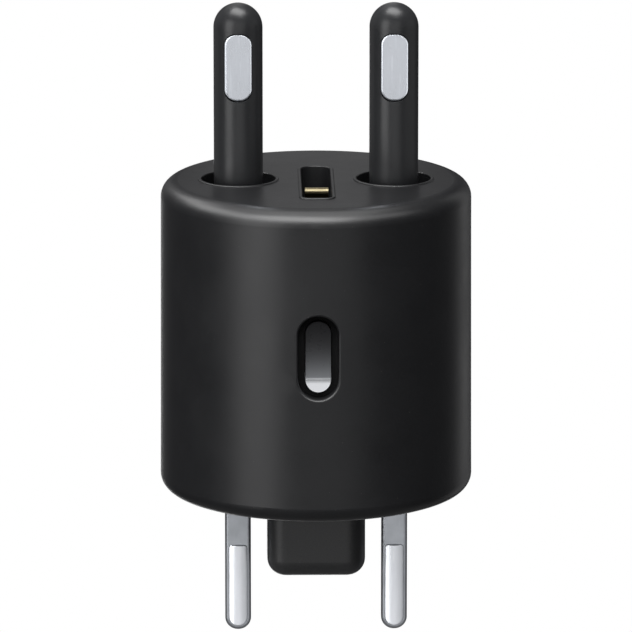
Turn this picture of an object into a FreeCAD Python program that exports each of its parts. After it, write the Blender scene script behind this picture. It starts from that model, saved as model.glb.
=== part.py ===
"""Round smart plug adapter, as a parametric document of separate sub-parts.

Frame: millimetres, +Z up along the body's axis. The origin is the centre of the flat
underside that seats against the wall socket, so the flat blades reach down below z = 0
and the sheathed round pins stand up above the body's top face. -Y is the front, where
the button is.

The body is a moulded cup with a cover screwed into its underside. Two insulated pins
rise from cups in the top face, with a brass spring contact in a slot between them. The
electronics stand on a round board: relay, transformer, capacitor and protection. An
upright board behind the button carries its switch, the status light and the radio.
"""

import FreeCAD
import Part
import math
import os
import Sketcher

OUT_FOLDER = "parts"

# Every driving dimension: alias, value in millimetres (or degrees, or a count), meaning.
DIMENSIONS = [
    # moulded body
    ("body_diameter", 38.0, "outside of the round body at its top"),
    ("body_height", 38.7, "underside to top face"),
    ("body_draft", 0.2, "how much wider each side is at the underside"),
    ("side_wall", 2.4, "thickness of the round wall"),
    ("top_wall", 2.2, "thickness of the top face"),
    ("top_rim_radius", 2.1, "rounding of the top rim"),
    ("bottom_rim_radius", 1.9, "rounding of the bottom rim"),
    ("lip_radius", 0.25, "small rounding at the button opening's mouth"),
    ("mouth_depth", 0.65, "how far that mouth runs back round the body"),
    ("mouth_rim_width", 0.4, "raised rim round the wells and the slot"),
    ("mouth_rim_height", 0.15, "raised rim round the wells and the slot"),
    ("mouth_rim_edge", 0.12, "rounding of that rim"),
    ("fit_gap", 0.05, "gap between pieces that fit together"),
    ("over_cut", 0.5, "how far a cut runs past what it cuts"),
    ("soft_edge", 0.4, "rounding of small cases and cans"),
    ("post_circle_radius", 14.0, "from the axis to the screw posts"),
    ("post_radius", 2.7, "outside of a screw post"),
    ("post_length", 11.6, "length of a screw post"),
    ("pilot_radius", 0.95, "hole in a screw post"),
    ("pilot_depth", 9.0, "depth of that hole"),
    # base cover
    ("cover_thickness", 2.4, "base cover plate"),
    ("cover_seat_diameter", 34.0, "seat for the cover in the underside"),
    ("cover_edge", 0.2, "rounding of the cover's outer edge"),
    ("standoff_radius", 1.6, "feet that carry the main board"),
    ("standoff_circle_radius", 13.2, "from the axis to those feet"),
    ("screw_head_radius", 1.9, "cover screw head"),
    ("screw_head_height", 1.2, "cover screw head"),
    ("screw_head_recess", 1.4, "depth of the head's counterbore"),
    ("screw_shank_radius", 0.9, "cover screw shank"),
    ("screw_length", 9.0, "cover screw under its head"),
    ("screw_clearance", 0.15, "gap round a screw in the cover"),
    ("drive_reach", 1.1, "half the length of the cross recess"),
    ("drive_half", 0.22, "half the width of the cross recess"),
    ("drive_depth", 0.75, "depth of the cross recess"),
    # guide boss under the cover
    ("boss_width", 12.1, "guide boss, side to side"),
    ("boss_depth", 8.0, "guide boss, front to back"),
    ("boss_height", 10.95, "guide boss below the underside"),
    ("boss_corner_radius", 2.4, "upright corners of the boss"),
    ("boss_nose_radius", 2.1, "lower edges of the boss"),
    ("boss_flange_reach", 0.5, "flange that rests on the cover, all round"),
    ("boss_flange_height", 1.0, "thickness of that flange"),
    ("boss_room_width", 7.6, "hollow inside the boss, side to side"),
    ("boss_room_depth", 3.6, "hollow inside the boss, front to back"),
    ("boss_floor", 1.4, "thickness of the hollow boss's nose"),
    ("bead_radius", 1.1, "heat sensor's bead"),
    ("bead_width", 3.2, "heat sensor's bead"),
    ("bead_rise", 3.0, "middle of the bead above the boss's nose"),
    ("bead_lead_radius", 0.25, "heat sensor's leads"),
    ("bead_lead_spread", 1.0, "from the axis to each of those leads"),
    # upper pins
    ("pin_pitch", 19.0, "upper pins, centre to centre"),
    ("pin_height", 21.9, "pin tip above the top face"),
    ("sheath_diameter", 6.0, "insulating sheath"),
    ("core_diameter", 4.8, "metal core"),
    ("sheath_bottom", 31.0, "lowest point of the sheath"),
    ("sheath_flange_radius", 4.1, "flange under the cup floor"),
    ("sheath_flange_height", 1.0, "flange under the cup floor"),
    ("collar_radius", 3.3, "root of the sheath, inside the cup floor"),
    ("tail_radius", 1.5, "thin lower end of the core"),
    ("tail_bottom", 26.8, "lowest point of the core"),
    ("window_width", 3.45, "opening in the sheath"),
    ("window_height", 8.5, "opening in the sheath"),
    ("window_drop", 3.3, "pin tip down to the window"),
    ("window_corner", 1.5, "corner radius of the window"),
    ("core_gap", 0.01, "gap between the core and its sheath"),
    ("pad_face", 2.64, "pin axis to the pad's front"),
    ("pad_back", 1.9, "pin axis to the pad's back"),
    ("pad_edge_radius", 0.3, "rounding of the pad's front edge"),
    ("slide_gap", 0.04, "gap round a pin in its cup, nut or bar"),
    ("nut_across_corners", 6.35, "pin nut"),
    ("nut_bottom", 27.6, "lower face of the pin nuts"),
    ("nut_top", 30.05, "upper face of the pin nuts"),
    # cups and the slot between the pins
    ("cup_diameter", 9.1, "well round each pin"),
    ("cup_wall", 1.1, "wall of the cup under the top face"),
    ("cup_floor_top", 33.3, "floor of the well"),
    ("cup_floor", 1.2, "thickness of that floor"),
    ("slot_width", 3.6, "slot in the top face, side to side"),
    ("slot_front", -11.7, "front end of the slot"),
    ("slot_back", 7.0, "back end of the slot"),
    ("slot_corner", 0.9, "front corners of the slot"),
    ("slot_back_corner", 1.6, "back corners of the slot"),
    ("slot_wall", 1.0, "wall of the slot's liner"),
    ("slot_floor_top", 30.0, "floor of the slot"),
    ("slot_floor", 1.1, "thickness of that floor"),
    # brass contact in the slot and its strap
    ("leaf_width", 2.84, "spring leaf, side to side"),
    ("leaf_thickness", 0.4, "spring leaf"),
    ("leaf_y", -4.6, "middle of the leaf, front to back"),
    ("leaf_bottom", 30.4, "lower end of the leaf"),
    ("leaf_roll_z", 38.2, "centre of the rolled top edge"),
    ("leaf_roll_radius", 0.42, "rolled top edge"),
    ("strap_width", 2.0, "fixed strap below the leaf"),
    ("strap_back", 2.75, "back face of the strap's long leg"),
    ("strap_top", 30.35, "upper end of the strap"),
    ("strap_bend_z", 28.2, "lower face of the strap's cross run"),
    # lower blades
    ("blade_pitch", 19.35, "lower blades, centre to centre"),
    ("blade_width", 3.2, "flat blade, side to side"),
    ("blade_thickness", 2.0, "flat blade, front to back"),
    ("blade_length", 18.3, "blade below the underside"),
    ("blade_edge_radius", 0.5, "rounding along the blade's edges"),
    ("shoulder_width", 5.2, "shoulder that stops the blade"),
    ("shoulder_depth", 3.6, "shoulder that stops the blade"),
    ("shoulder_top", 3.6, "upper face of the shoulder"),
    ("tab_width", 2.4, "solder tab above the shoulder"),
    ("tab_thickness", 0.8, "solder tab above the shoulder"),
    ("tab_top", 10.0, "upper end of the solder tab"),
    ("strip_width", 2.26, "raised contact strip on a blade"),
    ("strip_top", -7.4, "upper end of the strip"),
    ("strip_bottom", -17.7, "lower end of the strip"),
    ("strip_inset", 0.45, "how deep the strip sits in the blade"),
    ("strip_crown", 0.35, "how far the strip stands proud"),
    ("strip_corner", 0.4, "corner radius at the strip's upper end"),
    ("strip_gap", 0.02, "gap round the strip in the blade"),
    ("strip_end_radius", 0.12, "rounding where the crown meets the strip's end"),
    # bus bars from the upper pins to the main board
    ("bar_thickness", 0.8, "bus bar"),
    ("bar_width", 4.0, "bus bar's upright leg, front to back"),
    ("bar_outer", 13.6, "axis to the upright leg's outer face"),
    ("bar_inner", 7.0, "axis to the tab's inner end"),
    ("bar_tab_width", 5.2, "bus bar's tab, front to back"),
    ("bar_top", 30.9, "upper face of the bus bar's tab"),
    ("bar_bend", 0.6, "outer radius of the bus bar's bend"),
    ("lead_bottom", 6.2, "where leads end below the main board"),
    # main board
    ("board_bottom", 7.0, "lower face of the main board"),
    ("board_thickness", 1.6, "main board"),
    ("board_radius", 15.6, "main board"),
    ("board_notch_radius", 3.0, "clearance round a screw post"),
    ("hole_gap", 0.1, "gap round a lead in a board"),
    # upright control board
    ("control_front", -11.5, "front face of the control board"),
    ("control_thickness", 1.0, "control board"),
    ("control_half_width", 9.0, "control board"),
    ("control_bottom", 8.7, "control board"),
    ("control_top", 28.4, "control board"),
    ("rail_reach", 12.8, "outer side of the rails that hold the control board"),
    ("rail_inner", 8.5, "inner side of those rails"),
    ("rail_wall", 0.9, "rail in front of and behind the control board"),
    ("rail_height", 18.0, "length of those rails"),
    # button group
    ("button_z", 20.63, "centre of the button"),
    ("opening_width", 4.9, "pill-shaped opening in the body"),
    ("opening_height", 10.3, "pill-shaped opening in the body"),
    ("frame_front", -17.4, "front face of the button frame"),
    ("frame_seat", -15.6, "flat inside the body that the frame seats on"),
    ("frame_back", -14.9, "back face of the button frame"),
    ("seat_margin", 0.3, "how far the flat reaches past the frame's flange"),
    ("seat_depth", 1.9, "how far the flat's block runs into the wall"),
    ("frame_flange_width", 8.0, "button frame's flange"),
    ("frame_flange_height", 13.6, "button frame's flange"),
    ("cap_width", 3.05, "button, side to side"),
    ("cap_height", 8.7, "button, top to bottom"),
    ("cap_gap", 0.1, "gap between the button and its frame"),
    ("cap_front", -18.2, "highest point of the button's face"),
    ("cap_dish", 0.35, "depth of the finger dish in the button's face"),
    ("cap_flange", 0.5, "thickness of the button's flange"),
    ("cap_flange_reach", 0.75, "how far that flange stands out all round"),
    ("nub_radius", 1.1, "nub on the button that meets the switch"),
    ("guide_half_width", 1.0, "stem of the light window"),
    ("guide_half_height", 0.45, "stem of the light window"),
    ("guide_back", -13.4, "back end of that stem"),
    ("lens_height", 1.55, "height of the light window at the button's lower end"),
    # switch and status light on the control board
    ("switch_z", 21.7, "centre of the switch"),
    ("switch_size", 5.2, "side of the switch body"),
    ("switch_height", 1.5, "switch body, off the board"),
    ("plunger_radius", 1.0, "switch plunger"),
    ("plunger_gap", 0.05, "gap round the plunger"),
    ("plunger_front", -14.0, "front end of the plunger at rest"),
    ("plunger_back", -12.6, "back end of the plunger at rest"),
    ("plunger_room", 0.6, "depth of the switch behind its plunger at rest"),
    ("light_z", 16.9, "centre of the status light"),
    ("light_half_width", 1.0, "status light"),
    ("light_half_height", 0.6, "status light"),
    ("light_height", 0.8, "status light, off the board"),
    # pins that join the two boards
    ("link_pin_half", 0.25, "half the side of a link pin"),
    ("link_hole_half", 0.35, "half the side of its hole"),
    ("link_z", 10.4, "middle of the pins' level arms"),
    ("link_front", -12.2, "front end of those arms"),
    ("link_y", -9.6, "middle of the pins' upright legs"),
    # radio
    ("radio_half_width", 6.6, "radio board"),
    ("radio_bottom", 11.4, "radio board"),
    ("radio_top", 28.0, "radio board"),
    ("radio_thickness", 0.8, "radio board"),
    ("chip_half", 2.5, "half the side of the radio chip"),
    ("chip_z", 17.5, "centre of the radio chip"),
    ("chip_height", 0.9, "radio chip"),
    ("shield_half_width", 5.6, "metal lid over the chip"),
    ("shield_bottom", 12.0, "metal lid"),
    ("shield_top", 22.8, "metal lid"),
    ("shield_height", 1.9, "metal lid"),
    ("shield_wall", 0.25, "metal lid"),
    ("shield_edge", 0.3, "rounding of the metal lid"),
    ("aerial_half_width", 5.8, "aerial track"),
    ("aerial_bottom", 23.6, "aerial track"),
    ("aerial_top", 27.5, "aerial track"),
    ("aerial_line", 0.5, "width of the aerial's line"),
    ("aerial_height", 0.1, "thickness of the aerial's line"),
    # transformer
    ("transformer_x", -3.2, "centre of the transformer"),
    ("transformer_y", -2.7, "centre of the transformer"),
    ("transformer_base_height", 1.2, "transformer's base"),
    ("ferrite_width", 10.0, "ferrite core, side to side"),
    ("ferrite_depth", 4.4, "ferrite core, front to back"),
    ("ferrite_height", 9.2, "ferrite core"),
    ("ferrite_leg", 1.3, "ferrite core's outer legs"),
    ("ferrite_limb", 2.4, "ferrite core's middle limb"),
    ("ferrite_yoke", 1.8, "ferrite core above and below the winding"),
    ("coil_width", 7.2, "transformer's winding, side to side"),
    ("coil_depth", 8.6, "transformer's winding, front to back"),
    ("coil_corner", 2.0, "corners of the transformer's winding"),
    ("coil_gap", 0.1, "gap between the winding and the ferrite"),
    # smaller components on the main board
    ("capacitor_x", 5.6, "centre of the capacitor"),
    ("capacitor_y", -3.6, "centre of the capacitor"),
    ("capacitor_radius", 3.15, "capacitor"),
    ("capacitor_height", 11.0, "capacitor"),
    ("crimp_radius", 0.5, "crimped groove round the capacitor"),
    ("crimp_depth", 0.15, "crimped groove round the capacitor"),
    ("crimp_rise", 1.6, "crimped groove above the board"),
    ("lead_radius", 0.3, "component leads"),
    ("varistor_x", 12.0, "centre of the varistor"),
    ("varistor_y", 5.4, "centre of the varistor"),
    ("varistor_z", 12.6, "centre of the varistor"),
    ("varistor_radius", 3.0, "varistor"),
    ("varistor_half_thickness", 1.4, "varistor"),
    ("varistor_edge", 0.8, "rounding of the varistor"),
    ("varistor_spread", 1.5, "from its centre to each lead"),
    ("fuse_x", -12.0, "centre of the fuse resistor"),
    ("fuse_y", 5.6, "centre of the fuse resistor"),
    ("fuse_radius", 1.5, "fuse resistor"),
    ("fuse_bottom", 9.4, "fuse resistor"),
    ("fuse_top", 16.4, "fuse resistor"),
    ("rectifier_half", 2.4, "half the side of the rectifier"),
    ("rectifier_y", 6.0, "centre of the rectifier"),
    ("rectifier_height", 2.4, "rectifier"),
    ("meter_chip_half", 2.0, "half the side of the metering chip"),
    ("meter_chip_x", -4.5, "centre of the metering chip"),
    ("meter_chip_y", -6.4, "centre of the metering chip"),
    ("meter_chip_height", 1.6, "metering chip"),
    # relay
    ("relay_half_length", 10.0, "relay, side to side"),
    ("relay_front", 3.2, "relay"),
    ("relay_back", 10.7, "relay"),
    ("relay_base_height", 1.4, "relay's base plate"),
    ("relay_height", 15.3, "relay above the board"),
    ("relay_wall", 0.6, "relay's cover"),
    ("wound_gap", 0.02, "gap between the winding and its bobbin"),
    ("stem_gap", 0.03, "gap between the core and its bobbin"),
    ("neck_wall", 0.5, "wall of the bobbin's neck"),
    ("coil_x", -3.5, "axis of the relay's coil"),
    ("coil_radius", 2.75, "outside of the winding"),
    ("bobbin_half", 3.0, "half the side of the bobbin's flanges"),
    ("bobbin_flange", 0.8, "thickness of the bobbin's flanges"),
    ("bobbin_top", 19.4, "upper face of the bobbin"),
    ("core_radius", 1.0, "relay's iron core"),
    ("pole_top", 20.1, "upper face of the core's pole"),
    ("pole_radius", 1.8, "the core's pole"),
    ("yoke_outer", -8.4, "outer face of the yoke"),
    ("yoke_thickness", 1.0, "relay's yoke"),
    ("yoke_half_depth", 2.5, "relay's yoke"),
    ("yoke_top", 20.35, "upper end of the yoke"),
    ("armature_bottom", 20.45, "lower face of the armature at rest"),
    ("armature_thickness", 0.9, "armature"),
    ("armature_end", -0.6, "free end of the armature"),
    ("armature_half_depth", 2.4, "armature"),
    ("arm_half_depth", 1.3, "contact arm"),
    ("arm_thickness", 0.3, "contact arm"),
    ("arm_overhang", 1.4, "contact arm past its contact"),
    ("contact_x", 6.0, "axis of the relay's contacts"),
    ("contact_radius", 1.1, "relay's contacts"),
    ("contact_height", 0.5, "fixed contact on its terminal"),
    ("terminal_half_width", 0.4, "relay's terminal, side to side"),
    ("terminal_half_depth", 1.0, "relay's terminal, front to back"),
    ("fixed_contact_top", 19.25, "upper face of the fixed contact"),
    ("moving_contact_bottom", 20.0, "lower face of the moving contact at rest"),
]

SCREW_ANGLES = (90, 210, 330)
STANDOFF_ANGLES = (30, 150, 270)
LINK_PIN_COUNT = 6
LINK_PIN_PITCH = 2.0
AERIAL_UPRIGHTS = 6
SIDES = (("left", -1), ("right", 1))
NEAR = 1e-3  # sizes this close in millimetres count as the same


class Size:
    """A number together with the sheet expression it comes from, so that plain
    arithmetic on sizes gives both a starting value and a live link to the sheet."""

    def __init__(self, number, text):
        self.number = float(number)
        self.text = text

    @staticmethod
    def of(value):
        return value if isinstance(value, Size) else Size(value, f"({float(value)!r})")

    def joined(self, sign, other, number):
        return Size(number, f"({self.text} {sign} {other.text})")

    def __add__(self, other):
        other = Size.of(other)
        return self.joined("+", other, self.number + other.number)

    def __sub__(self, other):
        other = Size.of(other)
        return self.joined("-", other, self.number - other.number)

    def __mul__(self, other):
        other = Size.of(other)
        return self.joined("*", other, self.number * other.number)

    def __truediv__(self, other):
        other = Size.of(other)
        return self.joined("/", other, self.number / other.number)

    def __radd__(self, other):
        return Size.of(other) + self

    def __rsub__(self, other):
        return Size.of(other) - self

    def __rmul__(self, other):
        return Size.of(other) * self

    def __neg__(self):
        return Size(-self.number, f"(-{self.text})")


class Dimensions:
    """The spreadsheet, with each alias as an attribute that is a Size."""

    def __init__(self, document):
        sheet = document.addObject("Spreadsheet::Sheet", "dims")
        for row, (alias, value, meaning) in enumerate(DIMENSIONS, start=1):
            sheet.set(f"A{row}", str(value))
            sheet.setAlias(f"A{row}", alias)
            sheet.set(f"B{row}", meaning)
            setattr(self, alias, Size(value, f"dims.{alias}"))
        document.recompute()


doc = FreeCAD.newDocument("smart_plug")
d = Dimensions(doc)
sub_parts = []


# ---------------------------------------------------------------- small helpers


def sub_part(thing, label):
    """Names a finished object as a sub-part, which is written to a file of that name."""
    thing.Label = label
    sub_parts.append(thing)
    return thing


def link(thing, prop, size):
    """Ties one property to the sheet."""
    thing.setExpression(prop, Size.of(size).text)


def place(thing, x=0, y=0, z=0, turned=None):
    """Puts an object at a point, turned by (axis, degrees)."""
    if turned:
        axis, degrees = turned
        thing.Placement.Rotation = FreeCAD.Rotation(FreeCAD.Vector(*axis), degrees)
    for axis, size in (("x", x), ("y", y), ("z", z)):
        link(thing, f"Placement.Base.{axis}", size)
    return thing


def polar(radius, degrees):
    """The x and y of a point on a circle."""
    angle = math.radians(degrees)
    return radius * math.cos(angle), radius * math.sin(angle)


# ---------------------------------------------------------------- Part primitives


def box(x, y, z):
    """A block given by its low and high x, y and z."""
    block = doc.addObject("Part::Box", "block")
    for prop, (low, high) in (("Length", x), ("Width", y), ("Height", z)):
        link(block, prop, high - low)
    return place(block, x[0], y[0], z[0])


def rod(radius, z, x=0, y=0):
    """An upright cylinder."""
    cylinder = doc.addObject("Part::Cylinder", "rod")
    link(cylinder, "Radius", radius)
    link(cylinder, "Height", z[1] - z[0])
    return place(cylinder, x, y, z[0])


def rod_along_x(radius, x, y, z):
    cylinder = doc.addObject("Part::Cylinder", "rod_x")
    link(cylinder, "Radius", radius)
    link(cylinder, "Height", x[1] - x[0])
    return place(cylinder, x[0], y, z, turned=((0, 1, 0), 90))


def rod_along_y(radius, y, x, z):
    cylinder = doc.addObject("Part::Cylinder", "rod_y")
    link(cylinder, "Radius", radius)
    link(cylinder, "Height", y[1] - y[0])
    return place(cylinder, x, y[0], z, turned=((1, 0, 0), -90))


def fuse(*things):
    joined = doc.addObject("Part::MultiFuse", "fused")
    joined.Shapes = list(things)
    joined.Refine = True
    return joined


def cut(base, *tools):
    result = doc.addObject("Part::Cut", "cut")
    result.Base = base
    result.Tool = tools[0] if len(tools) == 1 else fuse(*tools)
    result.Refine = True
    return result


def common(first, second):
    result = doc.addObject("Part::MultiCommon", "common")
    result.Shapes = [first, second]
    result.Refine = True
    return result


def rounded(base, radius, pick):
    """Rounds the edges of a Part object that pick chooses."""
    doc.recompute()
    result = doc.addObject("Part::Fillet", "rounded")
    result.Base = base
    r = Size.of(radius).number
    edges = enumerate(base.Shape.Edges, start=1)
    result.Edges = [(n, r, r) for n, edge in edges if pick(edge)]
    return result


def pill(width, height, y, z):
    """A pill-shaped bar along Y, upright, centred at height z."""
    half = (height - width) / 2
    middle = box((-width / 2, width / 2), y, (z - half, z + half))
    ends = [rod_along_y(width / 2, y, 0, z + end * half) for end in (-1, 1)]
    return fuse(middle, *ends)


def around(centre, half):
    """The span from centre - half to centre + half."""
    return centre - half, centre + half


def cut_leads(board, z, leads):
    """Cuts a hole for each (x, y, half width, half depth) through a board or a base."""
    holes = [box(around(x, a), around(y, b), z) for x, y, a, b in leads]
    return cut(board, *holes)


# ---------------------------------------------------------------- PartDesign helpers


def new_body(label):
    return sub_part(doc.addObject("PartDesign::Body", label), label)


def new_sketch(body, role, offset=0):
    """A sketch on one of the body's own planes, moved along the plane's normal."""
    sketch = body.newObject("Sketcher::SketchObject", "sketch")
    plane = next(f for f in body.Origin.OriginFeatures if f.Role == role)
    sketch.AttachmentSupport = [(plane, "")]
    sketch.MapMode = "FlatFace"
    link(sketch, "AttachmentOffset.Base.z", offset)
    return sketch


def pin_point(sketch, geometry, end, x=None, y=None):
    """Fixes a point of the sketch at x and y from its origin."""
    axes = (("DistanceX", -2, x), ("DistanceY", -1, y))
    for kind, axis, size in axes:
        if size is None:
            continue
        size = Size.of(size)
        if near(size.number, 0):
            fixed = Sketcher.Constraint("PointOnObject", geometry, end, axis)
            sketch.addConstraint(fixed)
        else:
            fixed = Sketcher.Constraint(kind, -1, 1, geometry, end, size.number)
            index = sketch.addConstraint(fixed)
            sketch.setExpression(f"Constraints[{index}]", size.text)


def set_radius(sketch, geometry, size):
    size = Size.of(size)
    index = sketch.addConstraint(Sketcher.Constraint("Radius", geometry, size.number))
    sketch.setExpression(f"Constraints[{index}]", size.text)


def draw_circle(sketch, radius, x=0, y=0):
    x, y, radius = Size.of(x), Size.of(y), Size.of(radius)
    centre = FreeCAD.Vector(x.number, y.number, 0)
    up = FreeCAD.Vector(0, 0, 1)
    index = sketch.addGeometry(Part.Circle(centre, up, radius.number))
    pin_point(sketch, index, 3, x, y)
    set_radius(sketch, index, radius)


def draw_outline(sketch, points):
    """A closed outline of straight lines through points."""
    points = [(Size.of(x), Size.of(y)) for x, y in points]
    first = sketch.GeometryCount
    for start, stop in zip(points, points[1:] + points[:1]):
        ends = [FreeCAD.Vector(x.number, y.number, 0) for x, y in (start, stop)]
        sketch.addGeometry(Part.LineSegment(*ends))
    count = len(points)
    for n in range(count):
        joined = Sketcher.Constraint("Coincident", first + n, 2, first + (n + 1) % count, 1)
        sketch.addConstraint(joined)
    for n, (x, y) in enumerate(points):
        pin_point(sketch, first + n, 1, x, y)


def draw_rectangle(sketch, x, y):
    draw_outline(sketch, [(x[0], y[0]), (x[1], y[0]), (x[1], y[1]), (x[0], y[1])])


def draw_rounded_rectangle(sketch, x, y, low_radius, high_radius=None):
    """A rectangle with round corners, whose two upper corners can have their own
    radius: four lines, and arcs tangent to them."""
    (x0, x1), (y0, y1) = [[Size.of(v) for v in span] for span in (x, y)]
    low, high = Size.of(low_radius), Size.of(high_radius or low_radius)
    left, right, bottom, top = x0.number, x1.number, y0.number, y1.number
    q, p = low.number, high.number
    sides = [
        ((left + q, bottom), (right - q, bottom)),
        ((right, bottom + q), (right, top - p)),
        ((right - p, top), (left + p, top)),
        ((left, top - p), (left, bottom + q)),
    ]
    corners = [
        (right - q, bottom + q, q, -90),
        (right - p, top - p, p, 0),
        (left + p, top - p, p, 90),
        (left + q, bottom + q, q, 180),
    ]
    first = sketch.GeometryCount
    for start, stop in sides:
        sketch.addGeometry(Part.LineSegment(FreeCAD.Vector(*start, 0), FreeCAD.Vector(*stop, 0)))
    for cx, cy, radius, angle in corners:
        circle = Part.Circle(FreeCAD.Vector(cx, cy, 0), FreeCAD.Vector(0, 0, 1), radius)
        start = math.radians(angle)
        sketch.addGeometry(Part.ArcOfCircle(circle, start, start + math.pi / 2))
    for n in range(4):
        arc, line, after = first + 4 + n, first + n, first + (n + 1) % 4
        sketch.addConstraint(Sketcher.Constraint("Tangent", line, 2, arc, 1))
        sketch.addConstraint(Sketcher.Constraint("Tangent", arc, 2, after, 1))
        sketch.addConstraint(Sketcher.Constraint("Vertical" if n % 2 else "Horizontal", line))
    for n, size in enumerate((low, high, high, low)):
        set_radius(sketch, first + 4 + n, size)
    pin_point(sketch, first, 1, y=y0)
    pin_point(sketch, first + 1, 1, x=x1)
    pin_point(sketch, first + 2, 1, y=y1)
    pin_point(sketch, first + 3, 1, x=x0)


def draw_pill(sketch, width, height, x, y):
    """An upright pill: two straight sides and two half circles."""
    width, height, x, y = (Size.of(v) for v in (width, height, x, y))
    half, r = (height - width) / 2, width / 2
    left, right = (x - r).number, (x + r).number
    low, high = (y - half).number, (y + half).number
    up = FreeCAD.Vector(0, 0, 1)
    first = sketch.GeometryCount
    sketch.addGeometry(Part.LineSegment(FreeCAD.Vector(right, low, 0), FreeCAD.Vector(right, high, 0)))
    top = Part.Circle(FreeCAD.Vector(x.number, high, 0), up, r.number)
    sketch.addGeometry(Part.ArcOfCircle(top, 0, math.pi))
    sketch.addGeometry(Part.LineSegment(FreeCAD.Vector(left, high, 0), FreeCAD.Vector(left, low, 0)))
    bottom = Part.Circle(FreeCAD.Vector(x.number, low, 0), up, r.number)
    sketch.addGeometry(Part.ArcOfCircle(bottom, math.pi, 2 * math.pi))
    for n in range(4):
        joined = Sketcher.Constraint("Coincident", first + n, 2, first + (n + 1) % 4, 1)
        sketch.addConstraint(joined)
    pin_point(sketch, first, 1, x + r, y - half)
    pin_point(sketch, first, 2, x + r, y + half)
    pin_point(sketch, first + 2, 1, x - r, y + half)
    pin_point(sketch, first + 2, 2, x - r, y - half)
    pin_point(sketch, first + 1, 3, y=y + half)
    pin_point(sketch, first + 3, 3, y=y - half)


def feature(body, kind, sketch, length, reverse=False):
    """A Pad or Pocket of one sketch. A Pocket that removes nothing, or a Pad that adds
    nothing, stops the build."""
    before = body.Shape.Volume if body.Tip else 0
    made = body.newObject(f"PartDesign::{kind}", kind.lower())
    made.Profile = sketch
    made.Reversed = reverse
    link(made, "Length", length)
    doc.recompute()
    change = body.Shape.Volume - before
    if (change <= 0) if kind == "Pad" else (change >= 0):
        raise RuntimeError(f"{body.Label}: a {kind} changed the volume by {change:.4f}")
    return made


def turn(body, kind, sketch):
    """A Revolution or Groove of one sketch about the sketch's own upright axis."""
    made = body.newObject(f"PartDesign::{kind}", kind.lower())
    made.Profile = sketch
    made.ReferenceAxis = (sketch, ["V_Axis"])
    made.Angle = 360
    doc.recompute()
    return made


def domed_shaft(body, kind, radius, low, tip):
    """A round shaft or bore from low to tip that ends in a half sphere."""
    sketch = new_sketch(body, "XZ_Plane")
    radius, low, tip = Size.of(radius), Size.of(low), Size.of(tip)
    centre = tip - radius
    r, c = radius.number, centre.number
    corners = [(0, tip.number), (0, low.number), (r, low.number), (r, c)]
    for start, stop in zip(corners, corners[1:]):
        sketch.addGeometry(Part.LineSegment(FreeCAD.Vector(*start, 0), FreeCAD.Vector(*stop, 0)))
    circle = Part.Circle(FreeCAD.Vector(0, c, 0), FreeCAD.Vector(0, 0, 1), r)
    sketch.addGeometry(Part.ArcOfCircle(circle, 0, math.pi / 2))
    for joint in ((0, 2, 1, 1), (1, 2, 2, 1), (2, 2, 3, 1), (3, 2, 0, 1)):
        sketch.addConstraint(Sketcher.Constraint("Coincident", *joint))
    pin_point(sketch, 0, 1, x=0)
    pin_point(sketch, 1, 1, 0, low)
    pin_point(sketch, 2, 1, radius, low)
    pin_point(sketch, 2, 2, radius, centre)
    pin_point(sketch, 3, 3, 0, centre)
    turn(body, kind, sketch)


def soften(body, radius, pick):
    """Rounds the edges of a body that pick chooses."""
    base = body.Tip
    edges = enumerate(base.Shape.Edges, start=1)
    names = [f"Edge{n}" for n, edge in edges if pick(edge)]
    if not names:
        raise RuntimeError(f"{body.Label}: no edge to round")
    made = body.newObject("PartDesign::Fillet", "fillet")
    made.Base = (base, names)
    link(made, "Radius", radius)
    doc.recompute()
    return made


# ---------------------------------------------------------------- edge pickers


def near(a, b):
    return abs(a - b) < NEAR


def at_height(z):
    """Edges that lie flat at one height."""
    z = Size.of(z).number
    return lambda edge: near(edge.BoundBox.ZMin, z) and near(edge.BoundBox.ZMax, z)


def at_depth(y):
    """Edges that lie in one plane across Y."""
    y = Size.of(y).number
    return lambda edge: near(edge.BoundBox.YMin, y) and near(edge.BoundBox.YMax, y)


def round_edge(radius, z):
    """A full circle of one radius at one height."""
    radius, flat = Size.of(radius).number, at_height(z)

    def pick(edge):
        circle = isinstance(edge.Curve, Part.Circle) and near(edge.Curve.Radius, radius)
        return circle and flat(edge)

    return pick


def upright(edge):
    b = edge.BoundBox
    straight = isinstance(edge.Curve, (Part.Line, Part.LineSegment))
    return straight and near(b.XLength, 0) and near(b.YLength, 0)


def upright_front(edge):
    return upright(edge) and edge.BoundBox.YMax < 0


def upright_back(edge):
    return upright(edge) and edge.BoundBox.YMin > 0


# ---------------------------------------------------------------- moulded body


def shell_wall(body, outer):
    """The turned cup: round wall with its draft, top face, and the seat for the cover."""
    height = d.body_height
    foot = outer + d.body_draft
    inner, seat = outer - d.side_wall, d.cover_seat_diameter / 2
    ceiling = height - d.top_wall
    profile = new_sketch(body, "XZ_Plane")
    draw_outline(
        profile,
        [
            (0, height),
            (outer, height),
            (foot, 0),
            (seat, 0),
            (seat, d.cover_thickness),
            (inner, d.cover_thickness),
            (inner, ceiling),
            (0, ceiling),
        ],
    )
    turn(body, "Revolution", profile)
    soften(body, d.top_rim_radius, round_edge(outer, height))
    soften(body, d.bottom_rim_radius, round_edge(foot, 0))


def shell_button_seat(body):
    """The flat inside the front wall that the button frame seats on."""
    seat = new_sketch(body, "XZ_Plane", -d.frame_seat)
    half_width = d.frame_flange_width / 2 + d.seat_margin
    half_height = d.frame_flange_height / 2 + d.seat_margin
    draw_rectangle(seat, around(0, half_width), around(d.button_z, half_height))
    feature(body, "Pad", seat, d.seat_depth)


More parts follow.
